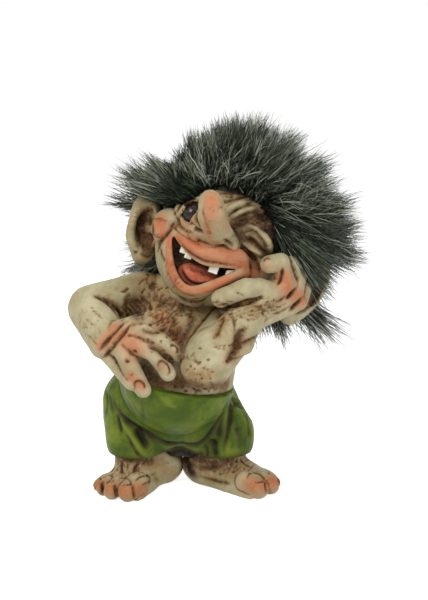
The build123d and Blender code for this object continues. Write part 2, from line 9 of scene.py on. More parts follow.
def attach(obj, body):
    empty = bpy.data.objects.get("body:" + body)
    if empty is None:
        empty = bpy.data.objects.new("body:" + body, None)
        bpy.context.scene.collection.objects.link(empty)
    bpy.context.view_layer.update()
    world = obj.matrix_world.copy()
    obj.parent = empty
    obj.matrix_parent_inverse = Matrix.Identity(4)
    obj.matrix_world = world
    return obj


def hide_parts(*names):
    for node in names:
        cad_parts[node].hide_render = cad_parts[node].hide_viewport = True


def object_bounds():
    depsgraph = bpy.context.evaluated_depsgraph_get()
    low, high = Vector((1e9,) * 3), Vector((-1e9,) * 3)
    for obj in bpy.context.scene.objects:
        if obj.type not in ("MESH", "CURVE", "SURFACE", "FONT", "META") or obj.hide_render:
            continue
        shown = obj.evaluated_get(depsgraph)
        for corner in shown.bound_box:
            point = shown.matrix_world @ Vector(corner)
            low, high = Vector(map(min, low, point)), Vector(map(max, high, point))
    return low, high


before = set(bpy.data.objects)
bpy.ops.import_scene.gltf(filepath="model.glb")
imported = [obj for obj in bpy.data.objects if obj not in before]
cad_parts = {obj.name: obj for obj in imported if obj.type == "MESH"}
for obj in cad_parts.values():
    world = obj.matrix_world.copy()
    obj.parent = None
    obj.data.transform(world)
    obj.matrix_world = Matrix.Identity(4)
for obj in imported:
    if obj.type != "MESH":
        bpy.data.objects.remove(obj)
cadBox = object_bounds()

# A laughing troll figure. Places are in millimetres unless a name says otherwise, and pixels are those
# of the 428 by 600 picture, seen from the camera below.
mm = 0.001
chance = np.random.default_rng(11)
bpy.context.scene.view_settings.view_transform = "Standard"

cameraView = {
    "target": (-4.26, -5.59, 76.0), "distance": 560.0, "elevation": 12.0, "lens": 84.0, "sensor": 36,
    "middle": (214, 300), "pictureHeight": 600,
}

rise = radians(cameraView["elevation"])
lookBack = np.array([0.0, -cos(rise), sin(rise)])
lookUp = np.array([0.0, sin(rise), cos(rise)])
lookRight = np.array([1.0, 0.0, 0.0])
eyePoint = np.array(cameraView["target"]) + lookBack * cameraView["distance"]
pixelLens = cameraView["lens"] / cameraView["sensor"] * cameraView["pictureHeight"]


def addCamera():
    camera = bpy.data.cameras.new("camera")
    camera.lens = cameraView["lens"]
    camera.sensor_width = cameraView["sensor"]
    camera.clip_start, camera.clip_end = 0.01, 100
    shot = bpy.data.objects.new("camera", camera)
    bpy.context.collection.objects.link(shot)
    shot.location = Vector(eyePoint * mm)
    shot.rotation_euler = (pi / 2 - rise, 0, 0)
    bpy.context.scene.camera = shot


white = (1, 1, 1, 1)
studio = {
    "floorSize": 80, "floorColour": (0.86, 0.86, 0.86, 1), "floorRoughness": 0.9, "floorGlow": 0.77,
    "worldStrength": 0.34, "lampAim": (0, 0, 80),
    "lamps": [
        # name, place, size, power and colour
        ("keyLamp", (-260, -420, 520), 320, 2.5, (1, 0.985, 0.96)),
        ("fillLamp", (420, -380, 260), 360, 1.05, (0.97, 0.985, 1)),
        ("topLamp", (60, 160, 620), 380, 0.9, (1, 1, 1)),
    ],
}


def wired(node, sockets):
    # each socket takes a value or what another node gives
    for socket, value in sockets.items():
        if isinstance(value, bpy.types.NodeSocket):
            node.id_data.links.new(value, node.inputs[socket])
        else:
            node.inputs[socket].default_value = value
    return node


def addNode(tree, kind, sockets, **settings):
    node = tree.nodes.new("ShaderNode" + kind)
    for key, value in settings.items():
        setattr(node, key, value)
    return wired(node, sockets)


def seenRays(tree):
    # the rays by which the background is seen, straight or in metal and glass
    path = addNode(tree, "LightPath", {})
    total = path.outputs["Is Camera Ray"]
    for kind in ("Is Glossy Ray", "Is Transmission Ray"):
        total = addNode(tree, "Math", {0: total, 1: path.outputs[kind]}, operation="MAXIMUM").outputs[0]
    return total


def newMaterial(name, roughness, **sockets):
    paint = bpy.data.materials.new(name)
    paint.use_nodes = True
    named = {socket.replace("_", " "): value for socket, value in sockets.items()}
    return paint, wired(paint.node_tree.nodes["Principled BSDF"], {"Roughness": roughness, **named})


def addStudio():
    bpy.ops.mesh.primitive_plane_add(size=studio["floorSize"], location=(0, 0, 0))
    floor = bpy.context.object
    floor.name = "floor"
    paint, shader = newMaterial("studioFloor", studio["floorRoughness"], Base_Color=studio["floorColour"])
    seen = seenRays(paint.node_tree)
    glow = addNode(paint.node_tree, "Math", {0: seen, 1: studio["floorGlow"]}, operation="MULTIPLY")
    wired(shader, {"Emission Color": white, "Emission Strength": glow.outputs[0]})
    floor.data.materials.append(paint)

    world = bpy.data.worlds.new("studio")
    bpy.context.scene.world = world
    world.use_nodes = True
    tree = world.node_tree
    ambient = wired(tree.nodes["Background"], {"Color": white, "Strength": studio["worldStrength"]})
    backdrop = addNode(tree, "Background", {"Color": white, "Strength": 1})
    mix = addNode(tree, "MixShader", {0: seenRays(tree), 1: ambient.outputs[0], 2: backdrop.outputs[0]})
    wired(tree.nodes["World Output"], {"Surface": mix.outputs[0]})

    for name, place, size, power, colour in studio["lamps"]:
        lamp = bpy.data.lights.new(name, "AREA")
        lamp.size = size * mm
        lamp.energy = power
        lamp.color = colour
        stand = bpy.data.objects.new(name, lamp)
        bpy.context.collection.objects.link(stand)
        stand.location = Vector(place) * mm
        aim = Vector(studio["lampAim"]) * mm - stand.location
        stand.rotation_euler = aim.to_track_quat("-Z", "Y").to_euler()


addCamera()
addStudio()
print("camera and studio ready")


# Materials

def noiseNode(paint, scale, detail=4, rough=0.6, stretch=None, distort=0):
    source = addNode(paint.node_tree, "TexCoord", {}).outputs["Object"]
    if stretch:
        source = addNode(paint.node_tree, "Mapping", {"Vector": source, "Scale": stretch}).outputs["Vector"]
    sockets = {"Vector": source, "Scale": scale, "Detail": detail, "Roughness": rough, "Distortion": distort}
    return addNode(paint.node_tree, "TexNoise", sockets).outputs["Fac"]


def rampNode(paint, source, stops):
    node = addNode(paint.node_tree, "ValToRGB", {"Fac": source})
    elements = node.color_ramp.elements
    while len(elements) < len(stops):
        elements.new(0.5)
    for element, (place, colour) in zip(elements, stops):
        element.position = place
        element.color = (*colour, 1) if isinstance(colour, tuple) else (colour, colour, colour, 1)
    return node.outputs["Color"]


def mixNode(paint, share, first, second):
    sockets = {"Factor": share, "A": first, "B": second}
    for socket, value in sockets.items():
        if isinstance(value, tuple):
            sockets[socket] = (*value, 1)
    return addNode(paint.node_tree, "Mix", sockets, data_type="RGBA").outputs["Result"]


def attributeNode(paint, name):
    return addNode(paint.node_tree, "Attribute", {}, attribute_name=name).outputs["Fac"]


def coatNode(paint, coat, noise, stops):
    # how thick a coat lies, broken up by noise
    sockets = {0: attributeNode(paint, coat), 1: rampNode(paint, noise, stops)}
    return addNode(paint.node_tree, "Math", sockets, operation="MULTIPLY", use_clamp=True).outputs[0]


def bumpNode(paint, height, strength, depth):
    sockets = {"Strength": strength, "Distance": depth * mm, "Height": height}
    return addNode(paint.node_tree, "Bump", sockets).outputs["Normal"]


skinColours = {
    "ivory": (0.53, 0.475, 0.305), "ivoryShade": (0.36, 0.32, 0.175), "pink": (0.53, 0.155, 0.066),
    "tan": (0.33, 0.175, 0.062), "brown": (0.115, 0.054, 0.020), "black": (0.012, 0.007, 0.006),
}


def skinMaterial():
    paint, shader = newMaterial("paintedSkin", 0.5, Specular_IOR_Level=0.1)
    c = skinColours
    patches = noiseNode(paint, 110, 5, 0.65)
    grain = noiseNode(paint, 900, 6, 0.7)
    speckle = noiseNode(paint, 420, 3, 0.5)
    colour = rampNode(paint, patches, [(0.35, c["ivoryShade"]), (0.62, c["ivory"])])
    streaks = noiseNode(paint, 330, 7, 0.75, distort=1.2)
    stain = coatNode(paint, "stain", streaks, [(0.32, 0.12), (0.58, 1.0)])
    colour = mixNode(paint, stain, colour, c["tan"])
    blushAndHighlight = coatNode(paint, "blushAndHighlight", noiseNode(paint, 300, 4, 0.6), [(0.25, 0.55), (0.6, 0.95)])
    colour = mixNode(paint, blushAndHighlight, colour, c["pink"])
    # the dark coat turns the skin brown to near black: the brown wash in the grooves, and painted shade in the
    # mouth, in a finger gap, under the hems and between the heels
    washAndShade = coatNode(paint, "washAndShade", streaks, [(0.3, 0.45), (0.6, 1.15)])
    colour = mixNode(paint, rampNode(paint, washAndShade, [(0.05, 0.0), (0.5, 0.85), (1.0, 1.0)]), colour, c["brown"])
    colour = mixNode(paint, rampNode(paint, washAndShade, [(0.5, 0.0), (0.95, 0.95)]), colour, c["black"])
    colour = mixNode(paint, rampNode(paint, speckle, [(0.69, 0.0), (0.76, 0.5)]), colour, c["brown"])
    rough = rampNode(paint, grain, [(0.3, 0.38), (0.7, 0.6)])
    bump = bumpNode(paint, mixNode(paint, 0.5, grain, streaks), 0.45, 0.5)
    wired(shader, {"Base Color": colour, "Roughness": rough, "Normal": bump})
    return paint


trouserColours = {
    "green": (0.085, 0.136, 0.011), "light": (0.215, 0.260, 0.032), "deep": (0.028, 0.064, 0.007),
    "brown": (0.060, 0.050, 0.014), "black": (0.008, 0.009, 0.004),
}


def trouserMaterial():
    paint, shader = newMaterial("greenPaint", 0.46, Specular_IOR_Level=0.12)
    c = trouserColours
    patches = noiseNode(paint, 95, 5, 0.65)
    grain = noiseNode(paint, 700, 6, 0.7)
    brush = noiseNode(paint, 240, 5, 0.7, stretch=(1, 1, 0.35))
    colour = rampNode(paint, patches, [(0.32, c["deep"]), (0.5, c["green"]), (0.72, c["light"])])
    colour = mixNode(paint, rampNode(paint, brush, [(0.48, 0.0), (0.75, 0.5)]), colour, c["light"])
    stained = mixNode(paint, patches, c["deep"], c["green"])
    colour = mixNode(paint, attributeNode(paint, "stain"), colour, stained)
    # painted highlight: where the blush coat lies on the raised folds, the green turns lighter
    colour = mixNode(paint, attributeNode(paint, "blushAndHighlight"), colour, c["light"])
    # the dark coat: the brown wash in the creases, and the painted shadow between the legs
    washAndShade = coatNode(paint, "washAndShade", grain, [(0.25, 0.7), (0.6, 1.15)])
    colour = mixNode(paint, rampNode(paint, washAndShade, [(0.05, 0.0), (0.5, 0.9)]), colour, c["brown"])
    colour = mixNode(paint, rampNode(paint, washAndShade, [(0.4, 0.0), (0.9, 0.95)]), colour, c["black"])
    bump = bumpNode(paint, mixNode(paint, 0.5, grain, brush), 0.35, 0.4)
    wired(shader, {"Base Color": colour, "Normal": bump})
    return paint


def hairMaterial():
    paint, shader = newMaterial("longFur", 0.42, Specular_IOR_Level=0.12)
    along = attributeNode(paint, "along")
    shade = attributeNode(paint, "shade")
    root = rampNode(paint, shade, [
        (0.0, (0.002, 0.003, 0.0025)), (0.7, (0.008, 0.011, 0.008)), (1.0, (0.06, 0.07, 0.055)),
    ])
    # the palest strands, up to near white, are painted sheen over a few pale fibres
    middle = rampNode(paint, shade, [
        (0.0, (0.004, 0.006, 0.005)), (0.45, (0.028, 0.042, 0.026)), (0.66, (0.12, 0.155, 0.10)),
        (0.82, (0.46, 0.50, 0.38)), (1.0, (0.86, 0.86, 0.74)),
    ])
    tip = rampNode(paint, shade, [
        (0.0, (0.008, 0.010, 0.008)), (0.6, (0.03, 0.038, 0.028)), (1.0, (0.42, 0.42, 0.36)),
    ])
    colour = mixNode(paint, rampNode(paint, along, [(0.10, 0.0), (0.45, 1.0)]), root, middle)
    colour = mixNode(paint, rampNode(paint, along, [(0.72, 0.0), (1.0, 0.85)]), colour, tip)
    wired(shader, {"Base Color": colour})
    return paint


def knitMaterial():
    paint, shader = newMaterial("knittedBacking", 0.85, Sheen_Weight=0.3)
    loops = noiseNode(paint, 900, 3, 0.5)
    colour = rampNode(paint, loops, [(0.3, (0.006, 0.008, 0.006)), (0.7, (0.03, 0.035, 0.028))])
    wired(shader, {"Base Color": colour, "Normal": bumpNode(paint, loops, 0.6, 0.4)})
    return paint


paints = {
    "skin": skinMaterial(), "trousers": trouserMaterial(), "fur": hairMaterial(), "knit": knitMaterial(),
}
print("materials mixed")


# Making and working the castings

def pixelDirection(pixel):
    middle = cameraView["middle"]
    across, up = (pixel[0] - middle[0]) / pixelLens, (middle[1] - pixel[1]) / pixelLens
    ray = -lookBack + lookRight * across + lookUp * up
    return ray / np.linalg.norm(ray)


def curvePoints(points, step):
    # a smooth line through the given points
    points = np.array(points, float)
    padded = np.vstack([2 * points[0] - points[1], points, 2 * points[-1] - points[-2]])
    line = []
    for a, b, c, d in zip(padded, padded[1:], padded[2:], padded[3:]):
        count = max(2, int(np.linalg.norm(c - b) / step))
        for t in np.arange(count) / count:
            bend, twist = 2 * a - 5 * b + 4 * c - d, 3 * b - a - 3 * c + d
            line.append(0.5 * (2 * b + (c - a) * t + bend * t ** 2 + twist * t ** 3))
    return np.array(line + [points[-1]])


def pickOnly(piece):
    bpy.ops.object.select_all(action="DESELECT")
    piece.select_set(True)
    bpy.context.view_layer.objects.active = piece


def applyModifier(piece, kind, **values):
    pickOnly(piece)
    modifier = piece.modifiers.new(kind.lower(), kind)
    for key, value in values.items():
        setattr(modifier, key, value)
    bpy.ops.object.modifier_apply(modifier=modifier.name)


def castingFrom(name, nodes, voxel, fillers, smooth):
    # the CAD solids and the balls that fill their hollows, made one closed skin
    bpy.ops.object.select_all(action="DESELECT")
    parts = []
    for node in nodes:
        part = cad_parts[node].copy()
        part.data = part.data.copy()
        bpy.context.collection.objects.link(part)
        parts.append(part)
    for centre, radius in fillers:
        bpy.ops.mesh.primitive_ico_sphere_add(subdivisions=3, radius=radius * mm, location=Vector(centre) * mm)
        bpy.ops.object.transform_apply(location=True)
        parts.append(bpy.context.object)
    bpy.ops.object.select_all(action="DESELECT")
    for part in parts:
        part.select_set(True)
    piece = parts[0]
    bpy.context.view_layer.objects.active = piece
    bpy.ops.object.join()
    piece.name = piece.data.name = name
    piece.data.materials.clear()
    bpy.ops.object.mode_set(mode="EDIT")
    bpy.ops.mesh.select_all(action="SELECT")
    bpy.ops.mesh.remove_doubles(threshold=0.00001)
    bpy.ops.object.mode_set(mode="OBJECT")
    applyModifier(piece, "REMESH", mode="VOXEL", voxel_size=voxel * mm, adaptivity=0)
    applyModifier(piece, "SMOOTH", factor=0.5, iterations=smooth)
    return piece


def beads(line, radius, step):
    # balls along a line, for castingFrom to fill a gap with
    return [(tuple(spot), radius) for spot in curvePoints(line, step)]


def pulled(items, field, wide, kind=float):
    # one field of all the vertices or edges, a row for each
    values = np.empty(len(items) * wide, kind)
    items.foreach_get(field, values)
    return values.reshape(-1, wide)


strokeFeel = {
    "step": 1.2, "reach": 2.6, "facing": -0.15, "endShare": 0.15, "knotSpots": 8, "knotRange": (0.55, 1.15),
    "coatWidth": 1.15, "stainWidth": 2.4, "stainShare": 0.6,
    "scratchTurn": 28, "scratchRange": (0.5, 1.3), "scratchBow": 0.12,
}
hollowFeel = {"fineRounds": 6, "broadRounds": 60, "washPower": 1.3, "stainGain": 2.2, "stainBase": 0.08}


def faded(distance, width):
    return np.exp(-(distance / width) ** 2)


def ramp(values, start, over):
    # 0 at the start and 1 past the far end, which lies below it when over is less than 0
    return np.clip((values - start) / over, 0, 1)


def alike(depth, width, coats, *lines):
    # the same stroke along several lines
    return [(line, depth, width, coats) for line in lines]


class Clay:
    # a casting's skin while strokes work it, with the three coats of paint that lie on it: a brown wash that
    # also carries painted shade, a blush that on the trousers is a painted highlight, and a stain
    def __init__(self, name, nodes, values, fillers=()):
        self.nodes = nodes
        self.piece = castingFrom(name, nodes, values["voxel"], fillers, values["smooth"])
        if "lumpSize" in values:
            lumpy(self.piece, values["lumpSize"], values["lumpDepth"])
        mesh = self.piece.data
        self.place = pulled(mesh.vertices, "co", 3) / mm
        self.ends = pulled(mesh.edges, "vertices", 2, int)
        self.ties = np.bincount(self.ends.ravel(), minlength=len(self.place))
        self.coats = {coat: np.zeros(len(self.place)) for coat in ("washAndShade", "blushAndHighlight", "stain")}
        self.settle()

    def settle(self):
        # the mesh follows the places, and is looked at afresh
        mesh = self.piece.data
        mesh.vertices.foreach_set("co", (self.place * mm).ravel())
        mesh.update()
        self.normals = pulled(mesh.vertices, "normal", 3)
        self.tree = BVHTree.FromObject(self.piece, bpy.context.evaluated_depsgraph_get())

    def smoothed(self, values, rounds):
        first, second = self.ends.T
        size = len(values)
        for _ in range(rounds):
            sums = np.bincount(first, values[second], size) + np.bincount(second, values[first], size)
            values = 0.5 * values + 0.5 * sums / self.ties
        return values

    def seen(self, pixels):
        # where the camera sees a line of pixels on this casting
        line = []
        for pixel in curvePoints(pixels, strokeFeel["step"]) if len(pixels) > 1 else pixels:
            spot = self.tree.ray_cast(Vector(eyePoint * mm), Vector(pixelDirection(pixel)))[0]
            if spot:
                line.append(np.array(spot) / mm)
        return np.array(line)

    def lain(self, points):
        # a line of places laid on the nearest skin
        line = [self.tree.find_nearest(Vector(point) * mm)[0] for point in curvePoints(points, 0.5)]
        return np.array(line) / mm

    def coated(self, coat, amounts):
        self.coats[coat] = np.maximum(self.coats[coat], amounts)

    def stroke(self, line, depth, width, washAndShade=0, blushAndHighlight=0, stain=0, bare=0, fade=0.25, facing=None):
        # a groove or a ridge along the line, with its coats, or with the coats wiped off it
        if len(line) == 0:
            return
        if washAndShade and depth:
            stained = max(stain, washAndShade * strokeFeel["stainShare"])
            self.stroke(line, 0, width * strokeFeel["stainWidth"], stain=stained, fade=fade, facing=facing)
        reach = width * strokeFeel["reach"]
        near = ((self.place > line.min(0) - reach) & (self.place < line.max(0) + reach)).all(1)
        if facing is not None:
            near &= self.normals @ facing > strokeFeel["facing"]
        near = near.nonzero()[0]
        if len(near) == 0:
            return
        gaps = np.linalg.norm(self.place[near][:, None] - line[None], axis=2)
        taper = np.ones(len(near))
        if len(line) > 1 and fade:
            along = gaps.argmin(1) / (len(line) - 1)
            taper = np.clip(np.minimum(along, 1 - along) / fade + strokeFeel["endShare"], 0, 1)
            if washAndShade and depth:
                # no hand presses evenly
                knots = max(3, len(line) // strokeFeel["knotSpots"])
                press = chance.uniform(*strokeFeel["knotRange"], knots)
                taper *= np.interp(along, np.linspace(0, 1, knots), press)
        gaps = gaps.min(1)
        self.place[near] += self.normals[near] * (depth * (faded(gaps, width) * taper))[:, None]
        wide = faded(gaps, width * strokeFeel["coatWidth"]) * taper
        for coat, amount in (("washAndShade", washAndShade), ("blushAndHighlight", blushAndHighlight), ("stain", stain)):
            if amount:
                self.coats[coat][near] = np.maximum(self.coats[coat][near], amount * wide)
            self.coats[coat][near] *= 1 - bare * wide

    def drawn(self, strokes):
        # strokes: pixels, depth, width, then any coats
        for pixels, depth, width, coats in strokes:
            self.stroke(self.seen(pixels), depth, width, facing=lookBack, **coats)
        self.settle()

    def painted(self, strokes):
        # strokes: pixels, width and coats, with no depth
        for pixels, width, coats in strokes:
            self.stroke(self.seen(pixels), 0, width, facing=lookBack, fade=0, **coats)

    def carved(self, strokes):
        # strokes: places, depth, width, then any coats
        for points, depth, width, coats in strokes:
            self.stroke(self.lain(points), depth, width, **coats)
        self.settle()

    def scratched(self, places):
        # many short cuts, scattered about each line of pixels. Each row: pixels, how far they scatter
        # from the line, how many, which way they run in degrees, length in pixels, depth, width, coats
        for pixels, spread, count, way, length, depth, width, coats in places:
            middles = curvePoints(pixels, 2)
            scatter = middles[chance.integers(0, len(middles), count)] + chance.normal(0, spread, (count, 2))
            for middle in scatter:
                tilt = radians(way + chance.normal(0, strokeFeel["scratchTurn"]))
                half = np.array([cos(tilt), -sin(tilt)]) * length / 2
                half = half * chance.uniform(*strokeFeel["scratchRange"])
                bow = chance.normal(0, length * strokeFeel["scratchBow"], 2)
                cut = self.seen([middle - half, middle + bow, middle + half])
                self.stroke(cut, depth, width, facing=lookBack, **coats)
            self.settle()

    def darkHollows(self, fine=0.1, broad=0.9, share=0.8):
        # the brown wash runs into every hollow, small or large
        feel = hollowFeel
        for rounds, depth in ((feel["fineRounds"], fine), (feel["broadRounds"], broad)):
            level = np.stack([self.smoothed(values, rounds) for values in self.place.T], 1)
            sunk = ((level - self.place) * self.normals).sum(1)
            self.coated("washAndShade", np.clip(sunk / depth, 0, 1) ** feel["washPower"] * share)
            self.coated("stain", np.clip(sunk / depth * feel["stainGain"] + feel["stainBase"], 0, 1))

    def softened(self, share, rounds):
        # rubbed smooth where the share says
        soft = np.stack([self.smoothed(values, rounds) for values in self.place.T], 1)
        self.place += (soft - self.place) * share[:, None]
        self.settle()

    def lumpsApart(self):
        # one number for each closed lump of the piece
        first, second = self.ends.T
        marks = np.arange(len(self.place))
        while True:
            low = np.minimum(marks[first], marks[second])
            fresh = marks.copy()
            np.minimum.at(fresh, first, low)
            np.minimum.at(fresh, second, low)
            fresh = fresh[fresh]
            if (fresh == marks).all():
                return marks
            marks = fresh

    def finished(self, material):
        # the coats are kept with the mesh, softened a little
        for coat, amounts in self.coats.items():
            layer = self.piece.data.attributes.new(coat, "FLOAT", "POINT")
            layer.data.foreach_set("value", self.smoothed(np.clip(amounts, 0, 1), 1).astype(np.float32))
        finishPiece(self.piece, self.nodes, material)
        print(self.piece.name, "worked,", len(self.piece.data.polygons) * 2, "triangles")


def lumpy(piece, size, depth):
    # the uneven hand of the modeller
    texture = bpy.data.textures.new(piece.name + "Lumps", "CLOUDS")
    texture.noise_scale = size * mm
    applyModifier(piece, "DISPLACE", texture=texture, texture_coords="LOCAL",
                  strength=depth * mm, mid_level=0.5)


def finishPiece(piece, nodes, material):
    piece.data.materials.clear()
    piece.data.materials.append(material)
    pickOnly(piece)
    bpy.ops.object.shade_smooth()
    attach(piece, "root")
    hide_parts(*nodes)


# Head: skull, face, nose and ears in one casting

headSide = np.array([0.939693, 0, -0.34202])
headValues = {
    "voxel": 0.483, "smooth": 5, "lumpSize": 7, "lumpDepth": 0.45,
    "fillers": [((3, 0, 100), 20), ((0, -8, 91), 12)],
    "noseTip": (-39.5, -5), "noseDrop": 2.7, "noseMiddle": -5.0, "noseSlim": 0.13, "noseShift": 0.6,
    "farEar": (29.5, 7), "farEarShift": 0.6, "softAcross": (-19, -4), "softDeep": (-12, -4), "softRounds": 40,
    "faceCentre": (-5.83, -15.79, 97.65), "mouthRadius": 20.3, "mouthFront": 8, "mouthBrownAndShade": 0.85,
    "crestHeight": 0.35,
}
groove, deepGroove = {"washAndShade": 0.9}, {"washAndShade": 1.0}
faceShaping = [
    # the brow on the open side goes in under the hair
    ([(181, 197), (190, 190), (196, 186)], -3.4, 4.2, {"washAndShade": 0.5}),
    # the nose: the root of the tip, the left flank and its corner, the right wing
    ([(212, 207), (214, 218), (219, 229), (229, 238), (235, 243)], 2.2, 2.4, {}),
    ([(206, 214), (206, 224), (209, 233)], 0.9, 1.8, {}),
    ([(218, 208), (221, 219), (225, 230), (230, 237)], 2.4, 2.0, {}),
    ([(196, 224), (199, 218)], 2.7, 2.3, {"blushAndHighlight": 0.5, "stain": 0.6}),
    ([(160, 219), (157, 229), (158, 237)], 1.4, 4.0, {}),
    # the shut lid and the brow over it
    ([(252, 231), (259, 238), (263, 246)], 1.4, 2.2, {}),
    ([(240, 214), (256, 212), (270, 222)], -1.6, 2.6, {"washAndShade": 0.5}),
]
faceStrokes = [
    # lips, ridges first
    ([(175, 228), (188, 238), (203, 246), (221, 251), (238, 254), (250, 261), (256, 270)],
     1.3, 2.2, {"blushAndHighlight": 1.0}),
    ([(181, 237), (191, 247), (204, 254), (221, 258), (238, 262)], 0.9, 1.5, {"blushAndHighlight": 0.9}),
    ([(169, 240), (169, 256), (172, 272), (180, 286), (190, 291), (203, 290), (217, 284), (238, 276),
      (253, 273)],
     1.2, 1.8, {"blushAndHighlight": 1.0}),
    ([(175, 234), (181, 243), (190, 252), (203, 260), (218, 263), (238, 266)], -0.5, 0.5, deepGroove),
    ([(166, 244), (168, 262), (173, 280), (184, 292), (196, 296)], -0.5, 0.6, {"washAndShade": 0.55}),
    ([(177, 246), (180, 262), (186, 277), (196, 284), (208, 282), (224, 274), (240, 267)],
     -0.4, 0.8, deepGroove),
    ([(197, 238), (203, 242), (212, 245), (222, 246), (234, 250)], -1.1, 0.8, deepGroove),
    ([(236, 248), (248, 254), (258, 264), (261, 276)], -1.4, 0.9, deepGroove),
    ([(175, 222), (168, 233), (160, 243), (157, 253)], -1.1, 0.7, groove),
    ([(212, 293), (225, 285), (240, 279), (250, 277)], -0.8, 0.7, groove),
    ([(178, 296), (188, 302), (200, 302), (209, 296)], -0.5, 0.7, {"washAndShade": 0.6}),
    # the open eye
    ([(178, 214), (185, 206), (193, 202)], 0.9, 0.8, {"blushAndHighlight": 0.2}),
    ([(179, 218), (186, 210), (193, 206)], -0.8, 0.6, deepGroove),
    ([(176, 212), (183, 203), (192, 198)], -0.9, 0.8, deepGroove),
    ([(181, 218), (186, 225), (193, 228)], 0.8, 0.8, {"blushAndHighlight": 0.8}),
    ([(177, 220), (184, 230), (194, 233)], -0.6, 0.6, groove),
    # the forehead
    ([(226, 211), (236, 205), (248, 201)], 1.2, 1.0, {}),
    ([(222, 203), (236, 199), (250, 196)], -0.7, 0.7, groove),
    ([(229, 215), (240, 208), (250, 204)], -1.1, 0.6, deepGroove),
    ([(230, 219), (242, 212), (259, 207)], 1.2, 0.9, {}),
    ([(233, 223), (247, 216), (264, 212)], -1.5, 1.0, deepGroove),
    ([(238, 226), (251, 219), (266, 220)], -1.3, 0.8, deepGroove),
    # the shut eye
    ([(237, 229), (252, 225), (263, 232), (270, 244), (272, 255)], 1.3, 0.8, {"washAndShade": 0.25}),
    ([(262, 219), (271, 230), (277, 243), (278, 256)], -1.2, 1.1, deepGroove),
    ([(243, 231), (254, 230), (263, 238), (268, 250)], -1.0, 0.6, deepGroove),
    ([(242, 234), (251, 234), (259, 241), (265, 250)], 0.9, 0.6, {"washAndShade": 0.35}),
    ([(243, 238), (251, 241), (258, 247), (266, 254)], -1.4, 0.8, deepGroove),
    ([(239, 240), (248, 247), (257, 252), (264, 257)], 1.0, 0.7, {"blushAndHighlight": 0.3}),
    ([(238, 245), (247, 253), (256, 260)], -1.1, 0.7, deepGroove),
    # the nose
    ([(204, 204), (203, 214), (206, 224), (211, 236)], -0.35, 0.8, {"washAndShade": 0.35}),
    ([(194, 227), (199, 230), (204, 233)], -1.2, 1.0, groove),
    ([(223, 238), (228, 242), (233, 246)], -0.9, 0.6, deepGroove),
    # the ear
    ([(145, 212), (141, 228), (145, 246)], -1.6, 2.1, deepGroove),
    ([(150, 214), (152, 230), (150, 246)], -0.9, 1.2, groove),
    ([(160, 206), (150, 204), (138, 212), (131, 226), (130, 240), (135, 253)], 1.5, 1.9, {}),
    ([(135, 254), (137, 251)], -0.8, 0.7, deepGroove),
    ([(166, 262), (162, 256), (160, 248)], -0.8, 0.9, groove),
    ([(139, 252), (147, 257), (155, 254)], -0.6, 0.7, groove),
    ([(314, 286), (317, 292), (315, 300), (309, 306)], -1.5, 1.5, deepGroove),
]
headScratches = [
    ([(226, 192), (244, 196), (258, 204)], 3, 26, 20, 9, -0.35, 0.35, {"washAndShade": 0.5}),
    ([(170, 262), (176, 285)], 3, 14, 80, 8, -0.3, 0.35, {"washAndShade": 0.35}),
    ([(245, 222), (268, 232), (278, 252)], 4, 30, -30, 7, -0.4, 0.35, {"washAndShade": 0.8}),
    ([(142, 216), (143, 234), (148, 248)], 3, 26, 70, 6, -0.45, 0.35, {"washAndShade": 0.8}),
]
facePaint = [
    ([(158, 220), (162, 234)], 3.4, {"blushAndHighlight": 1.0}),
    ([(152, 236)], 2.6, {"blushAndHighlight": 0.5}),
    ([(212, 194), (211, 212), (214, 228)], 5.0, {"stain": 0.4, "blushAndHighlight": 0.2}),
    ([(212, 198), (210, 206), (209, 214)], 3.2, {"blushAndHighlight": 0.85}),
    ([(206, 218), (209, 236)], 1.6, {"blushAndHighlight": 0.9, "stain": 0.4}),
    ([(219, 214), (228, 230)], 1.6, {"blushAndHighlight": 0.35}),
    ([(243, 263), (254, 272)], 3.4, {"blushAndHighlight": 1.0}),
    ([(188, 241), (215, 256), (240, 261)], 2.6, {"blushAndHighlight": 1.0}),
    ([(169, 238), (169, 256), (172, 272), (180, 286), (200, 291), (226, 283), (246, 276)], 2.3, {"blushAndHighlight": 1.0}),
    ([(178, 237), (190, 249), (205, 257), (221, 261), (238, 264)], 2.3, {"blushAndHighlight": 1.0}),
    ([(196, 238), (215, 243)], 2.4, {"stain": 0.9}),
    ([(236, 224), (250, 215), (266, 220), (275, 236), (278, 252)], 3.2, {"washAndShade": 0.95, "stain": 1.0}),
    ([(268, 214), (280, 232), (284, 250)], 4.0, {"washAndShade": 0.95}),
    ([(242, 234), (256, 240), (266, 252)], 2.6, {"washAndShade": 0.8}),
    ([(232, 226), (238, 236), (244, 246)], 1.8, groove),
    ([(244, 226), (258, 224), (268, 232)], 1.6, deepGroove),
    ([(152, 203), (140, 209), (131, 222), (128, 238), (134, 254)], 2.4, {"stain": 0.75}),
    ([(140, 262), (150, 267)], 2.6, {"stain": 0.7}),
    ([(190, 214)], 3.2, {"washAndShade": 0.75}),
    ([(228, 192), (240, 194)], 3.4, {"stain": 1.0}),
    ([(222, 186), (246, 190), (262, 200)], 3.0, {"washAndShade": 0.6}),
    ([(168, 262), (170, 280), (180, 296)], 2.6, {"stain": 0.9}),
    ([(250, 262), (262, 272)], 2.2, {"washAndShade": 0.35, "stain": 0.8}),
    ([(143, 214), (141, 230), (148, 248)], 3.0, {"washAndShade": 0.75}),
    ([(186, 298), (200, 303)], 2.4, {"stain": 0.9, "washAndShade": 0.3}),
]

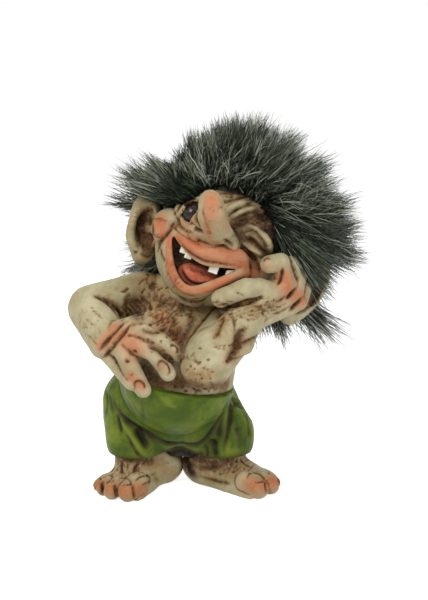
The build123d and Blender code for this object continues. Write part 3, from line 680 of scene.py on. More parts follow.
# crests from which the wash is wiped: the shut lid, the forehead, the rim of the ear
faceCrests = [
    ([(238, 230), (251, 226), (262, 233), (269, 244), (272, 254)], 0.75, 0.75),
    ([(242, 236), (251, 235), (259, 241), (264, 249)], 0.6, 0.6),
    ([(240, 241), (249, 247), (257, 252), (263, 256)], 0.7, 0.8),
    ([(226, 211), (236, 205), (248, 201)], 1.1, 0.8),
    ([(230, 218), (242, 211), (258, 206)], 1.0, 0.8),
    ([(231, 224), (244, 217), (258, 214)], 0.5, 0.5),
    ([(180, 215), (186, 207), (193, 203)], 0.6, 0.7),
    ([(157, 205), (148, 204), (138, 211), (131, 226), (130, 240), (135, 253)], 1.0, 0.5),
]

clay = Clay("laughingHead", ["head", "nose", "right_ear", "left_ear"], headValues, headValues["fillers"])
# the nose hangs lower and slimmer than its solid, the ear behind the hand stands out further
x, y, z = clay.place.T
tip = ramp(y, *headValues["noseTip"])
z -= headValues["noseDrop"] * tip
x += tip * (headValues["noseShift"] - headValues["noseSlim"] * (x - headValues["noseMiddle"]))
x += headValues["farEarShift"] * ramp(x, *headValues["farEar"])
clay.softened(ramp(x, *headValues["softAcross"]) * ramp(y, *headValues["softDeep"]), headValues["softRounds"])
clay.drawn(faceShaping)
clay.drawn(faceStrokes)
clay.scratched(headScratches)
# the mouth is dark inside: its dark brown paint and the shade in it, painted as one near-black coat
fromFace = clay.place - headValues["faceCentre"]
inner = np.linalg.norm(fromFace, axis=1) < headValues["mouthRadius"]
clay.coats["washAndShade"][inner & (fromFace @ lookBack > headValues["mouthFront"])] = headValues["mouthBrownAndShade"]
clay.painted(facePaint)
clay.darkHollows()
clay.drawn([(pixels, headValues["crestHeight"], width, {"bare": share}) for pixels, width, share in faceCrests])
clay.finished(paints["skin"])
headTree = clay.tree


# Trunk, arms and hands

bodyValues = {
    "voxel": 0.53, "smooth": 4, "lumpSize": 8, "lumpDepth": 0.7,
    "fillers": [((-18.8, -7.6, 43), 14), ((-18.8, -7.6, 55), 12)],
    "palm": [(-45.5, -34.6, 62.4), (-41.6, -38.4, 59.1), (-38.2, -41.1, 56.0), (-35.0, -43.0, 52.8)],
    "palmRadius": 3.7, "palmStep": 1.2,
}
bodyShaping = [
    # the left upper arm swells, the fold beside it sinks
    ([(241, 342), (242, 352)], 3.6, 5.5, {}),
    ([(250, 345), (248, 356)], 2.0, 4.5, {}),
    ([(200, 330), (196, 345), (190, 360)], 1.2, 4.5, {}),
    ([(224, 322), (226, 338), (222, 350)], 1.4, 3.6, {}),
    # the right wrist is slimmer and the side of the hand fuller
    ([(109, 300), (118, 297), (130, 293)], 1.0, 2.4, {}),
]
bodyStrokes = [
    # the right arm: shoulder fold, armpit and wrist
    ([(93, 295), (103, 299), (112, 307), (121, 320)], -1.5, 1.0, deepGroove),
    ([(121, 292), (126, 290), (129, 287)], -0.8, 0.5, deepGroove),
    ([(123, 308), (135, 306), (146, 311)], -2.6, 4.2, {"washAndShade": 0.8}),
    ([(121, 319), (124, 320)], -0.8, 0.6, deepGroove),
    ([(118, 310), (126, 306), (134, 309), (143, 303)], -0.9, 0.45, deepGroove),
    ([(120, 315), (129, 311), (138, 315), (148, 309)], -0.9, 0.45, deepGroove),
    ([(123, 313), (131, 309), (140, 312), (150, 306)], 0.5, 0.4, {"blushAndHighlight": 0.3}),
    ([(124, 303), (132, 300), (141, 298)], -0.9, 0.45, deepGroove),
    ([(139, 295), (146, 301), (151, 310)], -1.1, 0.7, deepGroove),
    ([(99, 351), (107, 341), (116, 331), (125, 321)], -1.0, 0.7, deepGroove),
    ([(103, 353), (110, 344), (119, 334), (128, 324)], 0.8, 0.6, {"blushAndHighlight": 0.9}),
    ([(106, 356), (113, 347), (121, 337), (129, 327)], -1.1, 0.7, deepGroove),
    *alike(-0.35, 0.32, {"washAndShade": 0.5},
           [(90, 307), (94, 309)], [(92, 310), (97, 312.5)],
           [(95, 313), (100.5, 315.5)], [(98, 316), (103.5, 318.5)]),
    # the right hand
    ([(141, 328), (150, 332), (160, 331), (168, 328)], -1.3, 1.1, deepGroove),
    *alike(-1.0, 0.7, deepGroove, [(135, 352)], [(127, 361)]),
    ([(147, 345), (158, 350), (166, 357), (173, 363)], -1.1, 1.0, deepGroove),
    *alike(-0.4, 0.35, {"washAndShade": 0.6},
           [(146, 341), (149, 338)], [(160, 340), (162, 343)],
           [(150, 354), (153, 351)], [(130, 376), (134, 374)]),
    *alike(-0.6, 0.4, deepGroove,
           [(171, 349), (172, 345), (176, 346), (178, 351), (175, 355)],
           [(159, 369), (158, 364), (162, 361), (168, 365), (170, 372), (166, 376)],
           [(135, 388), (135, 383), (139, 381), (144, 384), (145, 390)]),
    # the left arm
    ([(218, 310), (222, 320), (219, 329), (214, 340)], -1.1, 1.3, {"washAndShade": 0.65, "stain": 1.0}),
    ([(226, 312), (233, 318), (235, 330), (236, 343)], -0.6, 0.8, {"washAndShade": 0.3}),
    ([(247, 327), (240, 335), (237, 346), (232, 356), (227, 364)], -2.0, 1.5, groove),
    *alike(-0.4, 0.35, {"washAndShade": 0.6},
           [(241, 333), (243, 336)], [(239, 338), (242, 341)], [(237, 344), (241, 347)]),
    ([(192, 352), (195, 360), (201, 366)], -0.35, 0.8, {"washAndShade": 0.15}),
    # the left hand
    ([(283, 268), (281, 277), (278, 285)], -1.2, 0.6, deepGroove),
    ([(294, 289), (290, 295), (286, 300)], -1.3, 0.6, deepGroove),
    ([(302, 297), (296, 304), (290, 311)], -1.1, 0.7, deepGroove),
    ([(214, 302), (230, 306), (248, 303), (264, 295)], -0.8, 0.9, {"washAndShade": 0.6}),
    ([(263, 262), (266, 258), (271, 259)], -0.5, 0.4, groove),
]
bodyScratches = [
    ([(152, 284), (158, 300), (168, 318), (178, 340)], 6, 90, 65, 9, -0.45, 0.4, {"washAndShade": 0.7}),
    ([(166, 300), (186, 312)], 6, 60, 40, 8, -0.4, 0.4, {"washAndShade": 0.6}),
    ([(224, 308), (248, 311), (272, 305)], 4.5, 80, 8, 16, -0.3, 0.35, {"washAndShade": 0.25, "stain": 0.5}),
    ([(82, 322), (98, 338)], 5, 22, -50, 14, -0.12, 0.5, {"stain": 0.12}),
    ([(190, 360), (210, 372)], 6, 16, 20, 3, -0.35, 0.4, {"washAndShade": 0.3}),
    ([(180, 388), (215, 388)], 3, 30, 60, 6, -0.4, 0.4, {"washAndShade": 0.6}),
]
bodyPaint = [
    ([(122, 336), (136, 350)], 4.0, {"blushAndHighlight": 0.85}),
    ([(115, 326), (106, 338), (100, 348)], 1.8, {"blushAndHighlight": 0.8}),
    ([(284, 278), (290, 290), (300, 300)], 3.4, {"blushAndHighlight": 0.95}),
    ([(141, 386), (131, 377)], 2.2, {"blushAndHighlight": 0.9}),
    ([(163, 368)], 2.0, {"blushAndHighlight": 0.5}),
    ([(174, 351)], 1.6, {"blushAndHighlight": 0.4}),
    ([(267, 266)], 2.0, {"blushAndHighlight": 0.5}),
    ([(150, 285), (158, 305), (168, 325), (178, 345)], 6.5, {"stain": 1.0}),
    ([(170, 300), (190, 310)], 7.0, {"stain": 1.0}),
    ([(162, 318), (176, 338)], 4.0, {"stain": 1.0, "blushAndHighlight": 0.45}),
    ([(140, 290), (150, 300)], 3.0, {"stain": 0.8}),
    # painted shade on the trunk, where it shows in the gap between the fingers
    ([(143, 368), (150, 374), (160, 384)], 3.2, {"washAndShade": 0.7}),
    ([(160, 384), (184, 382), (206, 388), (226, 384)], 3.0, {"stain": 1.0, "washAndShade": 0.5}),
    ([(186, 372), (196, 376), (210, 374)], 2.4, {"stain": 0.9}),
    ([(225, 306), (250, 310), (275, 305)], 4.0, {"stain": 0.6}),
    ([(236, 345), (230, 358)], 2.4, {"stain": 0.9, "blushAndHighlight": 0.3}),
    ([(192, 320), (184, 340), (180, 358)], 1.6, {"washAndShade": 0.6}),
]
armpitStrokes = [
    # the dark hollow, and the ridges combed through it
    ([(100, 298), (107, 302), (113, 307)], 0, 1.0, deepGroove),
    ([(110, 303), (117, 310), (124, 317)], 0, 1.7, deepGroove),
    ([(121, 307), (130, 312), (139, 314), (147, 314)], 0, 2.6, deepGroove),
    ([(126, 303), (134, 301), (140, 303), (147, 310)], 0, 1.8, {"washAndShade": 0.7}),
    ([(122, 316), (130, 315.5), (139, 313.5), (146, 311.5)], -0.4, 0.8, deepGroove),
    *alike(0.4, 0.36, {"bare": 0.65},
           [(117, 306), (123, 312), (127, 318)], [(121, 305), (127, 310), (132, 317)]),
    ([(126, 304), (132, 309), (137, 317)], 0.4, 0.36, {"bare": 0.7}),
    ([(131, 303), (137, 308), (141, 316)], 0.4, 0.36, {"bare": 0.65}),
    ([(136, 302), (141, 307), (145, 314)], 0.4, 0.36, {"bare": 0.6}),
    ([(139, 299), (145, 305), (149, 312)], 0.4, 0.36, {"bare": 0.55}),
    ([(141, 297), (148, 303), (153, 311)], -0.6, 0.5, groove),
]
backStrokes = [
    # spine, shoulder blades, ribs and the folds over the waist
    ([(-9, 14, 88), (-11, 17, 78), (-14, 19, 66), (-17, 19, 52)], -1.5, 3.0, {"stain": 0.8}),
    ([(-24, 12, 84), (-29, 12, 75), (-27, 15, 66), (-21, 17, 62)], 1.5, 3.2, {}),
    ([(-20, 17, 70), (-21, 17, 62)], -0.9, 2.2, {"stain": 0.7}),
    ([(6, 13, 82), (10, 12, 72), (6, 15, 64), (0, 17, 62)], 1.5, 3.2, {}),
    ([(-2, 18, 68), (-3, 18, 61)], -0.9, 2.2, {"stain": 0.7}),
    ([(-38, 4, 64), (-33, 11, 62), (-27, 15, 60)], -0.7, 1.6, {"washAndShade": 0.1, "stain": 0.5}),
    ([(8, 4, 62), (4, 11, 60), (-2, 15, 58)], -0.7, 1.6, {"washAndShade": 0.1, "stain": 0.5}),
    ([(-40, 4, 55), (-30, 14, 53), (-19, 17, 52), (-8, 14, 53), (4, 8, 55)], -0.8, 1.5,
     {"washAndShade": 0.12, "stain": 0.7}),
]

clay = Clay("body", ["torso", "right_arm", "left_arm", "right_hand", "left_hand"], bodyValues,
            bodyValues["fillers"] + beads(bodyValues["palm"], bodyValues["palmRadius"], bodyValues["palmStep"]))
clay.drawn(bodyShaping)
clay.drawn(bodyStrokes)
clay.carved(backStrokes)
clay.scratched(bodyScratches)
clay.painted(bodyPaint)
clay.drawn(armpitStrokes)
clay.darkHollows()
clay.finished(paints["skin"])


# Trousers

trouserValues = {
    "voxel": 0.5, "smooth": 5, "lumpSize": 9, "lumpDepth": 1.0,
    "fillers": [((-18.8, -7.6, 34), 15), ((-17.2, -9, 20.8), 8.7), ((-17.2, -9, 26), 9)],
    "backWaist": [(-35, 3, 44.6), (-28, 7, 44.2), (-18.8, 8.4, 43.6), (-9, 7, 43), (-2, 3, 42.6)],
    "waistRadius": 3.0, "waistStep": 1.5,
    "scratches": [([(163, 398), (172, 404)], 2, 12, -35, 8, 0, 0.5, {"blushAndHighlight": 0.6})],
    "legsMiddle": -17.2, "between": 8.5, "betweenDark": (20, -4), "hemDark": (19.5, -2.5), "hemDarkShare": 0.5,
    "hemDrop": (3.0, 1.8), "hemOutward": 6, "hemHeight": (27, -9),
}
trouserStrokes = [
    # the raised folds marked with blush carry a painted highlight in lighter green
    ([(150, 388), (170, 392), (195, 394), (215, 393), (232, 390)], -0.3, 0.6, {"washAndShade": 0.45, "stain": 0.8}),
    ([(112, 398), (124, 418), (143, 431), (165, 441), (184, 443), (205, 438), (217, 424), (225, 408),
      (231, 396)],
     -1.3, 1.1, deepGroove),
    ([(135, 427), (143, 437), (149, 446)], -1.9, 1.5, deepGroove),
    ([(116, 412), (119, 422), (122, 434)], -0.9, 0.8, {"washAndShade": 0.7}),
    ([(109, 392), (111, 402), (113, 412)], -0.6, 0.8, {"washAndShade": 0.7}),
    ([(120, 414), (128, 430), (136, 441), (147, 451)], 1.1, 1.3, {"blushAndHighlight": 0.7}),
    ([(141, 398), (143, 410), (145, 424)], -0.4, 1.2, {"washAndShade": 0.2}),
    ([(127, 398), (131, 408), (136, 418)], -0.5, 1.1, {"washAndShade": 0.3}),
    ([(213, 436), (214, 445), (215, 454)], -2.6, 1.5, deepGroove),
    ([(222, 410), (221, 424), (217, 437)], -1.1, 0.9, groove),
    ([(206, 440), (207, 448), (209, 455)], -0.8, 0.9, {"washAndShade": 0.5}),
    ([(244, 414), (248, 424), (250, 436)], -0.8, 1.0, {"washAndShade": 0.45}),
    ([(128, 432), (133, 444), (141, 454)], -0.8, 1.0, {"washAndShade": 0.45}),
    ([(232, 400), (231, 415), (228, 430), (224, 444)], -1.4, 1.0, groove),
    ([(238, 398), (241, 408)], -2.6, 4.0, {}),
    ([(226, 408), (224, 420), (219, 432)], 0.6, 0.7, {"blushAndHighlight": 0.5}),
    ([(237, 424), (240, 435), (241, 446)], -1.4, 1.6, {"washAndShade": 0.55}),
    ([(234, 405), (241, 415), (249, 425), (252, 441)], 0.9, 1.0, {"blushAndHighlight": 0.6}),
    ([(229, 420), (227, 436), (228, 450)], 0.8, 1.0, {"blushAndHighlight": 0.6}),
    ([(168, 446), (183, 449), (198, 450)], -1.6, 1.5, deepGroove),
    ([(105, 385), (107, 400), (106, 418)], -0.6, 1.0, {"washAndShade": 0.4}),
    ([(150, 452), (140, 449), (130, 444)], 0.6, 0.9, {"blushAndHighlight": 0.5}),
]
seatStrokes = [
    # the seat's crease, the folds under it and down the sides; the two raised folds under it carry a painted
    # highlight
    ([(-19.5, 16, 44), (-19, 18, 36), (-18.5, 17, 29), (-18, 14, 21)], -1.5, 2.0, {"washAndShade": 0.35, "stain": 0.9}),
    ([(-20, 18, 24), (-27, 18, 23), (-34, 14, 26), (-40, 9, 30)], -1.3, 1.8, {"washAndShade": 0.3, "stain": 0.9}),
    ([(-17, 18, 24), (-10, 18, 23), (-3, 14, 26), (3, 9, 30)], -1.3, 1.8, {"washAndShade": 0.3, "stain": 0.9}),
    ([(-33, 12, 44), (-39, 8, 40), (-44, 2, 35)], -0.9, 1.6, {"washAndShade": 0.25, "stain": 0.7}),
    ([(-5, 12, 43), (1, 8, 39), (6, 2, 34)], -0.9, 1.6, {"washAndShade": 0.25, "stain": 0.7}),
    ([(-36, 13, 22), (-42, 7, 22), (-46, 0, 22)], 0.7, 1.4, {"blushAndHighlight": 0.4}),
    ([(-1, 13, 21), (6, 7, 21), (11, 0, 21)], 0.7, 1.4, {"blushAndHighlight": 0.4}),
    ([(-48, -2, 44), (-50, -5, 36), (-47, -8, 28)], -0.7, 1.5, {"washAndShade": 0.2, "stain": 0.6}),
    ([(12, -4, 42), (15, -6, 35), (14, -8, 28)], -0.7, 1.5, {"washAndShade": 0.2, "stain": 0.6}),
]
clay = Clay("greenTrousers", ["trousers"], trouserValues, trouserValues["fillers"]
            + beads(trouserValues["backWaist"], trouserValues["waistRadius"], trouserValues["waistStep"]))
clay.drawn(trouserStrokes)
clay.carved(seatStrokes)
clay.stroke(clay.seen([(150, 408), (175, 418), (200, 412)]), 0, 9, stain=0.75, facing=lookBack)
clay.scratched(trouserValues["scratches"])
clay.darkHollows(fine=0.16, broad=1.1)
x, y, z = clay.place.T
outward = np.abs(x - trouserValues["legsMiddle"])
# painted shadow: dark between the legs below the crotch
clay.coated("washAndShade", (outward < trouserValues["between"]) * ramp(z, *trouserValues["betweenDark"]))
# darker towards the bottom of each leg
clay.coated("washAndShade", ramp(z, *trouserValues["hemDark"]) * trouserValues["hemDarkShare"])
# the hems hang a little lower
drop = np.where(x > trouserValues["legsMiddle"], *trouserValues["hemDrop"])
drop = drop * ramp(outward, 0, trouserValues["hemOutward"])
z -= drop * ramp(z, *trouserValues["hemHeight"])
clay.settle()
clay.finished(paints["trousers"])


# Feet

footValues = {
    "voxel": 0.42, "smooth": 9, "lumpSize": 6, "lumpDepth": 0.5,
    "softBack": (-19, 6), "softRounds": 70, "scratches": {
        "right": [(108, 464), (140, 466)], "left": [(215, 470), (250, 466)],
    },
    "ankleDark": (13.5, 4), "ankleDarkShare": 0.75, "topDark": (8, 8), "topStain": 0.6,
    "heels": {
        "right": [((-25.4, -5, 8), 9.2), ((-28, -6.5, 13), 8.4), ((-29, -8, 8), 8.8)],
        "left": [((-9.2, -5, 7.5), 8.6), ((-7.5, -6, 13), 8.2), ((-5, -8, 7.5), 8.6)],
    },
    "between": {"right": (-90, -17.14), "left": (-17.10, 90)},
}
footStrokes = {
    "right": [
        # between the toes, round the nails and beside the tendons
        *alike(-1.2, 0.7, deepGroove,
               [(102, 480), (102, 487), (103, 495)], [(115, 483), (116, 492), (118, 500)],
               [(133, 484), (134, 492), (135, 501)]),
        *alike(-0.6, 0.35, deepGroove,
               [(94, 482), (96, 478), (100, 478), (101, 482)],
               [(104, 479), (107, 475), (112, 476), (113, 481), (106, 483)],
               [(117, 482), (121, 478), (128, 479), (131, 484), (121, 485)],
               [(135, 482), (140, 477), (148, 476), (150, 481), (141, 485)]),
        *alike(-0.8, 0.7, groove,
               [(112, 470), (108, 466), (106, 460)], [(122, 474), (121, 467), (122, 460)],
               [(134, 474), (136, 467), (140, 462)]),
        ([(112, 456), (125, 459), (140, 461), (155, 460)], -0.7, 1.2, {"washAndShade": 0.7}),
    ],
    "left": [
        *alike(-1.2, 0.7, deepGroove,
               [(265, 479), (266, 486), (267, 493)], [(277, 473), (279, 480), (280, 487)]),
        *alike(-0.6, 0.35, deepGroove,
               [(247, 479), (249, 474), (256, 473), (262, 476), (263, 481), (254, 483)],
               [(268, 475), (271, 470), (276, 471)], [(279, 470), (282, 466), (286, 468)]),
        *alike(-0.8, 0.7, groove,
               [(250, 467), (244, 463), (240, 458)], [(262, 467), (256, 461), (252, 456)]),
        ([(190, 462), (205, 468), (225, 465), (240, 460)], -0.7, 1.3, {"washAndShade": 0.8}),
        ([(196, 476), (212, 480), (232, 484)], -0.5, 0.9, {"washAndShade": 0.5}),
    ],
}
footPaint = {
    "right": [
        ([(97, 485), (110, 488), (124, 491), (145, 490)], 3.4, {"blushAndHighlight": 0.65, "stain": 1.0}),
        ([(110, 468), (130, 470)], 3.2, {"stain": 0.8}),
        ([(165, 470), (178, 476)], 3.0, {"stain": 0.7}),
        # painted shadow where the heels meet
        ([(176, 452), (182, 460), (182, 470), (178, 478)], 1.8, {"washAndShade": 0.8, "stain": 1.0}),
        # painted shadow under the trouser hem
        ([(112, 452), (130, 456), (150, 459)], 2.4, {"washAndShade": 0.7}),
        ([(118, 462), (140, 464), (160, 464)], 3.6, {"stain": 0.9}),
    ],
    "left": [
        ([(250, 484), (268, 484), (284, 476)], 3.4, {"blushAndHighlight": 0.75, "stain": 1.0}),
        ([(200, 470), (225, 472), (245, 468)], 4.0, {"stain": 0.9}),
        # painted shadow where the heels meet, with the deep groove's dark coat
        ([(187, 452), (187, 462), (191, 472)], 2.6, deepGroove),
        # painted shadow under the trouser hem
        ([(194, 456), (212, 462), (232, 460)], 3.0, {"washAndShade": 0.7}),
        ([(238, 452), (250, 460), (262, 466)], 2.4, {"washAndShade": 0.35, "stain": 0.9}),
    ],
}
for side in ("right", "left"):
    clay = Clay(side + "Foot", [side + "_foot"], footValues, footValues["heels"][side])
    x, y, z = clay.place.T
    # the heel and the ankle are rubbed smooth, the sole is flat, and the heels just part
    clay.softened(ramp(y, *footValues["softBack"]), footValues["softRounds"])
    z[:] = np.maximum(z, 0)
    x[:] = np.clip(x, *footValues["between"][side])
    clay.settle()
    clay.drawn(footStrokes[side])
    clay.scratched([(footValues["scratches"][side], 4, 26, 60, 6, -0.35, 0.4, {"washAndShade": 0.4})])
    clay.painted(footPaint[side])
    # the feet darken towards the top of the ankle
    clay.coated("washAndShade", ramp(z, *footValues["ankleDark"]) * footValues["ankleDarkShare"])
    clay.coated("stain", ramp(z, *footValues["topDark"]) * footValues["topStain"])
    clay.darkHollows()
    clay.finished(paints["skin"])


# Eye, tongue and teeth

eyeValues = {"centre": (-12.19, -27.56, 114.08), "radius": 4.2, "segments": 64, "rings": 32}
tongueStrokes = [
    ([(184, 262), (192, 268), (204, 272), (218, 276)], -0.6, 1.0, {"washAndShade": 0.3}),
    ([(180, 262), (183, 274), (190, 282), (200, 285), (211, 282)], -0.7, 0.8, deepGroove),
]
tongueScratches = [([(190, 268), (204, 274), (214, 278)], 3, 22, 0, 2, -0.2, 0.3, {"washAndShade": 0.45})]
tongueValues = {
    "voxel": 0.25, "smooth": 3, "stretch": 1.7, "shift": 3.2,
    "light": (0.62, 0.175, 0.095), "dark": (0.42, 0.09, 0.05), "roughness": 0.55,
}
teethValues = {
    "voxel": 0.16, "smooth": 3, "up": (0.338692, 0.139173, 0.930548),
    "light": (0.90, 0.88, 0.80), "dark": (0.70, 0.64, 0.50), "roughness": 0.18,
    "gum": 1.2, "sizes": ((0.6, 0.8), (0.5, 0.8), (0.6, 0.74)),
    "moves": ((0.9, 0.3), (2.2, 0.9), (2.0, -0.3)),
}


def eyeMaterial():
    paint, shader = newMaterial("glassEye", 0.08, Specular_IOR_Level=0.3)
    flecks = noiseNode(paint, 600, 4, 0.6)
    colour = rampNode(paint, flecks, [(0.3, (0.004, 0.003, 0.002)), (0.7, (0.028, 0.017, 0.007))])
    wired(shader, {"Base Color": colour})
    return paint


def glossyMaterial(name, values):
    # enamel, with the brown wash that lies in its hollows
    paint, shader = newMaterial(name, values["roughness"], Specular_IOR_Level=0.2)
    grain = noiseNode(paint, 500, 4, 0.6)
    colour = rampNode(paint, grain, [(0.3, values["dark"]), (0.65, values["light"])])
    washAndShade = coatNode(paint, "washAndShade", grain, [(0.25, 0.7), (0.6, 1.1)])
    colour = mixNode(paint, rampNode(paint, washAndShade, [(0.1, 0.0), (0.7, 0.95)]), colour, (0.045, 0.02, 0.012))
    wired(shader, {"Base Color": colour, "Normal": bumpNode(paint, grain, 0.2, 0.2)})
    return paint


bpy.ops.object.select_all(action="DESELECT")
bpy.ops.mesh.primitive_uv_sphere_add(
    segments=eyeValues["segments"], ring_count=eyeValues["rings"],
    radius=eyeValues["radius"] * mm, location=Vector(eyeValues["centre"]) * mm)
eye = bpy.context.object
eye.name = "eye"
bpy.ops.object.transform_apply(location=True)
finishPiece(eye, ["right_eye"], eyeMaterial())

clay = Clay("tongueFlesh", ["tongue"], tongueValues)
along = (clay.place - clay.place.mean(0)) @ headSide
clay.place += ((tongueValues["stretch"] - 1) * along + tongueValues["shift"])[:, None] * headSide
clay.settle()
clay.drawn(tongueStrokes)
clay.scratched(tongueScratches)
clay.darkHollows(fine=0.08, broad=0.8, share=0.6)
clay.finished(glossyMaterial("tonguePaint", tongueValues))

clay = Clay("teethRow", ["upper_teeth"], teethValues)
teethUp = np.array(teethValues["up"])
across, along = clay.place @ headSide, clay.place @ teethUp
marks = clay.lumpsApart()
lumps = sorted(set(marks), key=lambda mark: across[marks == mark].mean())
for lump, move, size in zip(lumps, teethValues["moves"], teethValues["sizes"]):
    # the teeth are short and narrow: each is drawn up towards its gum
    mine = marks == lump
    low = np.minimum(along[mine] - along[mine].max() + teethValues["gum"], 0) * (size[0] - 1) + move[1]
    wide = (across[mine] - across[mine].mean()) * (size[1] - 1) + move[0]
    clay.place[mine] += low[:, None] * teethUp + wide[:, None] * headSide
print("teeth drawn up in", len(lumps), "groups")
clay.settle()
clay.darkHollows(fine=0.06, broad=0.5, share=0.7)
clay.finished(glossyMaterial("toothEnamel", teethValues))
print("eye, tongue and teeth made")


# Fur: six gores of long strands, gathered in locks

furValues = {
    "seed": 23, "centre": (2.07, -3.37, 104.73), "axis": (0.176153, 0.857167, 0.483977),
    "scalp": 27.4, "skinReach": 32, "looks": 4, "lookStep": 0.5, "hairline": -9.8, "backReach": 56,
    "boxMargin": 0.6, "crown": 0.08,
    "droop": (0.05, 0, -0.45),
    # boxes without hair, middle and half size: the two ears and the forehead over the nose
    "hairless": [
        ((-29.5, -16, 101), (8.5, 12, 15)), ((35.5, -9, 84), (5.5, 12, 9)), ((-4.5, -34, 118), (5, 9, 8)),
    ],
}
lockValues = {
    "count": 250, "jitter": 0.035, "scatter": 0.17, "length": (0.72, 1.04), "hangingLonger": 0.3,
    "bend": 0.15, "sag": (0, 0, -0.04), "limit": (0.94, 1.2),
}
strandValues = {
    "count": 6900, "triesEach": 16, "steps": 5,
    "rootRadius": 0.19, "tipRadius": 0.045, "thickness": (0.7, 1.25),
    "scatter": 0.16, "length": (0.35, 1.0), "lengthPower": 0.6, "clump": (0.55, 0.93), "bend": 0.12,
    "gather": 1.2, "wave": 0.6, "waveTurn": 5,
    "looseShare": 0.22, "looseLength": (0.55, 1.08), "looseClump": 0.1,
    "paleSheen": 0.40, "paleSheenShade": (0.62, 1.0), "lockShade": 0.3, "ownShade": 0.4,
    "limit": (0.78, 1.06), "strayShare": 0.08, "strayLimit": (1.0, 1.13), "shortest": 0.25,
}
tuftValues = {"scatter": 0.2, "length": (0.5, 1.1), "bend": 0.12, "wave": 0.5, "shadePower": 1.5}
chance = np.random.default_rng(furValues["seed"])
furTufts = {
    "furRightBrow": [
        {"roots": [(204, 188), (194, 194), (184, 200), (174, 205)], "spread": 2.0, "count": 1500,
         "way": (-0.75, -0.3, 0.55), "bend": (-0.1, 0.1, -0.1), "length": 12, "shade": 0.7},
    ],
    "furLeftBrow": [
        {"roots": [(210, 184), (228, 184), (246, 189), (260, 198)], "spread": 2.2, "count": 1300,
         "way": (0.2, -0.35, 0.9), "bend": (0.2, 0.1, 0), "length": 24, "shade": 0.9},
        {"roots": [(262, 202), (272, 214), (278, 226)], "spread": 2.2, "count": 900,
         "way": (0.85, -0.3, -0.1), "bend": (0.1, 0.2, -0.3), "length": 26, "shade": 0.9},
        {"roots": [(208, 189), (226, 188), (244, 193), (262, 203)], "spread": 1.4, "count": 500,
         "way": (0.15, -0.7, 0.6), "bend": (0.1, -0.1, 0.3), "length": 11, "shade": 1.0},
    ],
    "furLeftSide": [
        {"roots": [(275, 220), (281, 234), (285, 248), (288, 258)], "spread": 2.2, "count": 1300,
         "way": (0.6, -0.3, -0.5), "bend": (0.2, 0.3, -0.3), "length": 23, "shade": 0.9},
    ],
}
# pixels round the edge of the hair
furOutline = [
    (378, 235), (375, 215), (360, 195), (345, 160), (330, 155), (295, 125), (281, 112), (262, 100),
    (235, 108), (213, 118), (195, 125), (188, 146), (172, 160), (150, 152), (130, 150), (110, 163),
    (90, 180), (101, 203), (127, 213), (128, 236), (112, 246), (118, 270), (134, 284), (160, 300),
    (220, 350), (258, 366), (270, 350), (288, 365), (300, 345), (325, 350), (343, 344), (355, 315),
    (357, 300), (376, 268),
]
furNodes = {
    "furLeftSide": "fur_left_side", "furLeftNape": "fur_left_nape", "furRightNape": "fur_right_nape",
    "furRightSide": "fur_right_side", "furRightBrow": "fur_right_brow", "furLeftBrow": "fur_left_brow",
}

tiny = 1e-6  # keeps a division from zero
furCentre = np.array(furValues["centre"])
furAxis = np.array(furValues["axis"])
furThird = np.cross(furAxis, headSide)
toFur = furCentre - eyePoint
furAway = -(toFur @ lookBack)
centrePixel = (cameraView["middle"][0] + pixelLens * (toFur @ lookRight) / furAway,
               cameraView["middle"][1] - pixelLens * (toFur @ lookUp) / furAway)
outlineSpots = np.array([(x - centrePixel[0], centrePixel[1] - y) for x, y in furOutline])
outlineAngles = np.arctan2(outlineSpots[:, 1], outlineSpots[:, 0])
outlineReach = np.hypot(*outlineSpots.T) * furAway / pixelLens
turn = np.argsort(outlineAngles)
outlineAngles, outlineReach = outlineAngles[turn], outlineReach[turn]
boxLow, boxHigh = (np.array(corner) / mm for corner in cadBox)


def unit(vectors):
    return vectors / np.linalg.norm(vectors, axis=-1, keepdims=True)


def furReach(directions):
    # how far the hair goes from the middle of the head, as the picture shows it, or as guessed at the back
    across, up = directions @ lookRight, directions @ lookUp
    flat = np.interp(np.arctan2(up, across), outlineAngles, outlineReach, period=2 * pi)
    share = np.clip(np.hypot(across, up), 0, 1) ** 2
    return flat * share + furValues["backReach"] * (1 - share)


def scalpDirections(count):
    # evenly spread over the scalp, counted from the crown axis
    low = furValues["hairline"] / furValues["scalp"]
    rise = low + (1 - low) * (np.arange(count) + 0.5) / count
    spin = np.arange(count) * pi * (3 - 5 ** 0.5)
    flat = np.sqrt(1 - rise ** 2)
    flatX, flatY = flat * np.cos(spin), flat * np.sin(spin)
    return rise[:, None] * furAxis + flatX[:, None] * headSide + flatY[:, None] * furThird


def hanging(roots):
    # hair that grows below the middle of the head hangs
    return np.clip(-(roots @ lookUp), 0, 1)


def waysFrom(roots, scatter):
    leaning = roots + furValues["crown"] * furAxis + chance.normal(0, scatter, roots.shape)
    return unit(leaning + hanging(roots)[:, None] * np.array(furValues["droop"]))


lockRoots = scalpDirections(lockValues["count"])
lockRoots = unit(lockRoots + chance.normal(0, lockValues["jitter"], lockRoots.shape))
lockWays = waysFrom(lockRoots, lockValues["scatter"])
lockReach = furReach(unit(lockRoots * 0.5 + lockWays)) - furValues["scalp"]
lockLengths = lockReach * chance.uniform(*lockValues["length"], len(lockRoots))
lockLengths = lockLengths * (1 + lockValues["hangingLonger"] * hanging(lockRoots))
lockBends = chance.normal(0, lockValues["bend"], lockRoots.shape) + np.array(lockValues["sag"])
lockShades = chance.uniform(0, 1, len(lockRoots))
lockLimits = chance.uniform(*lockValues["limit"], len(lockRoots))


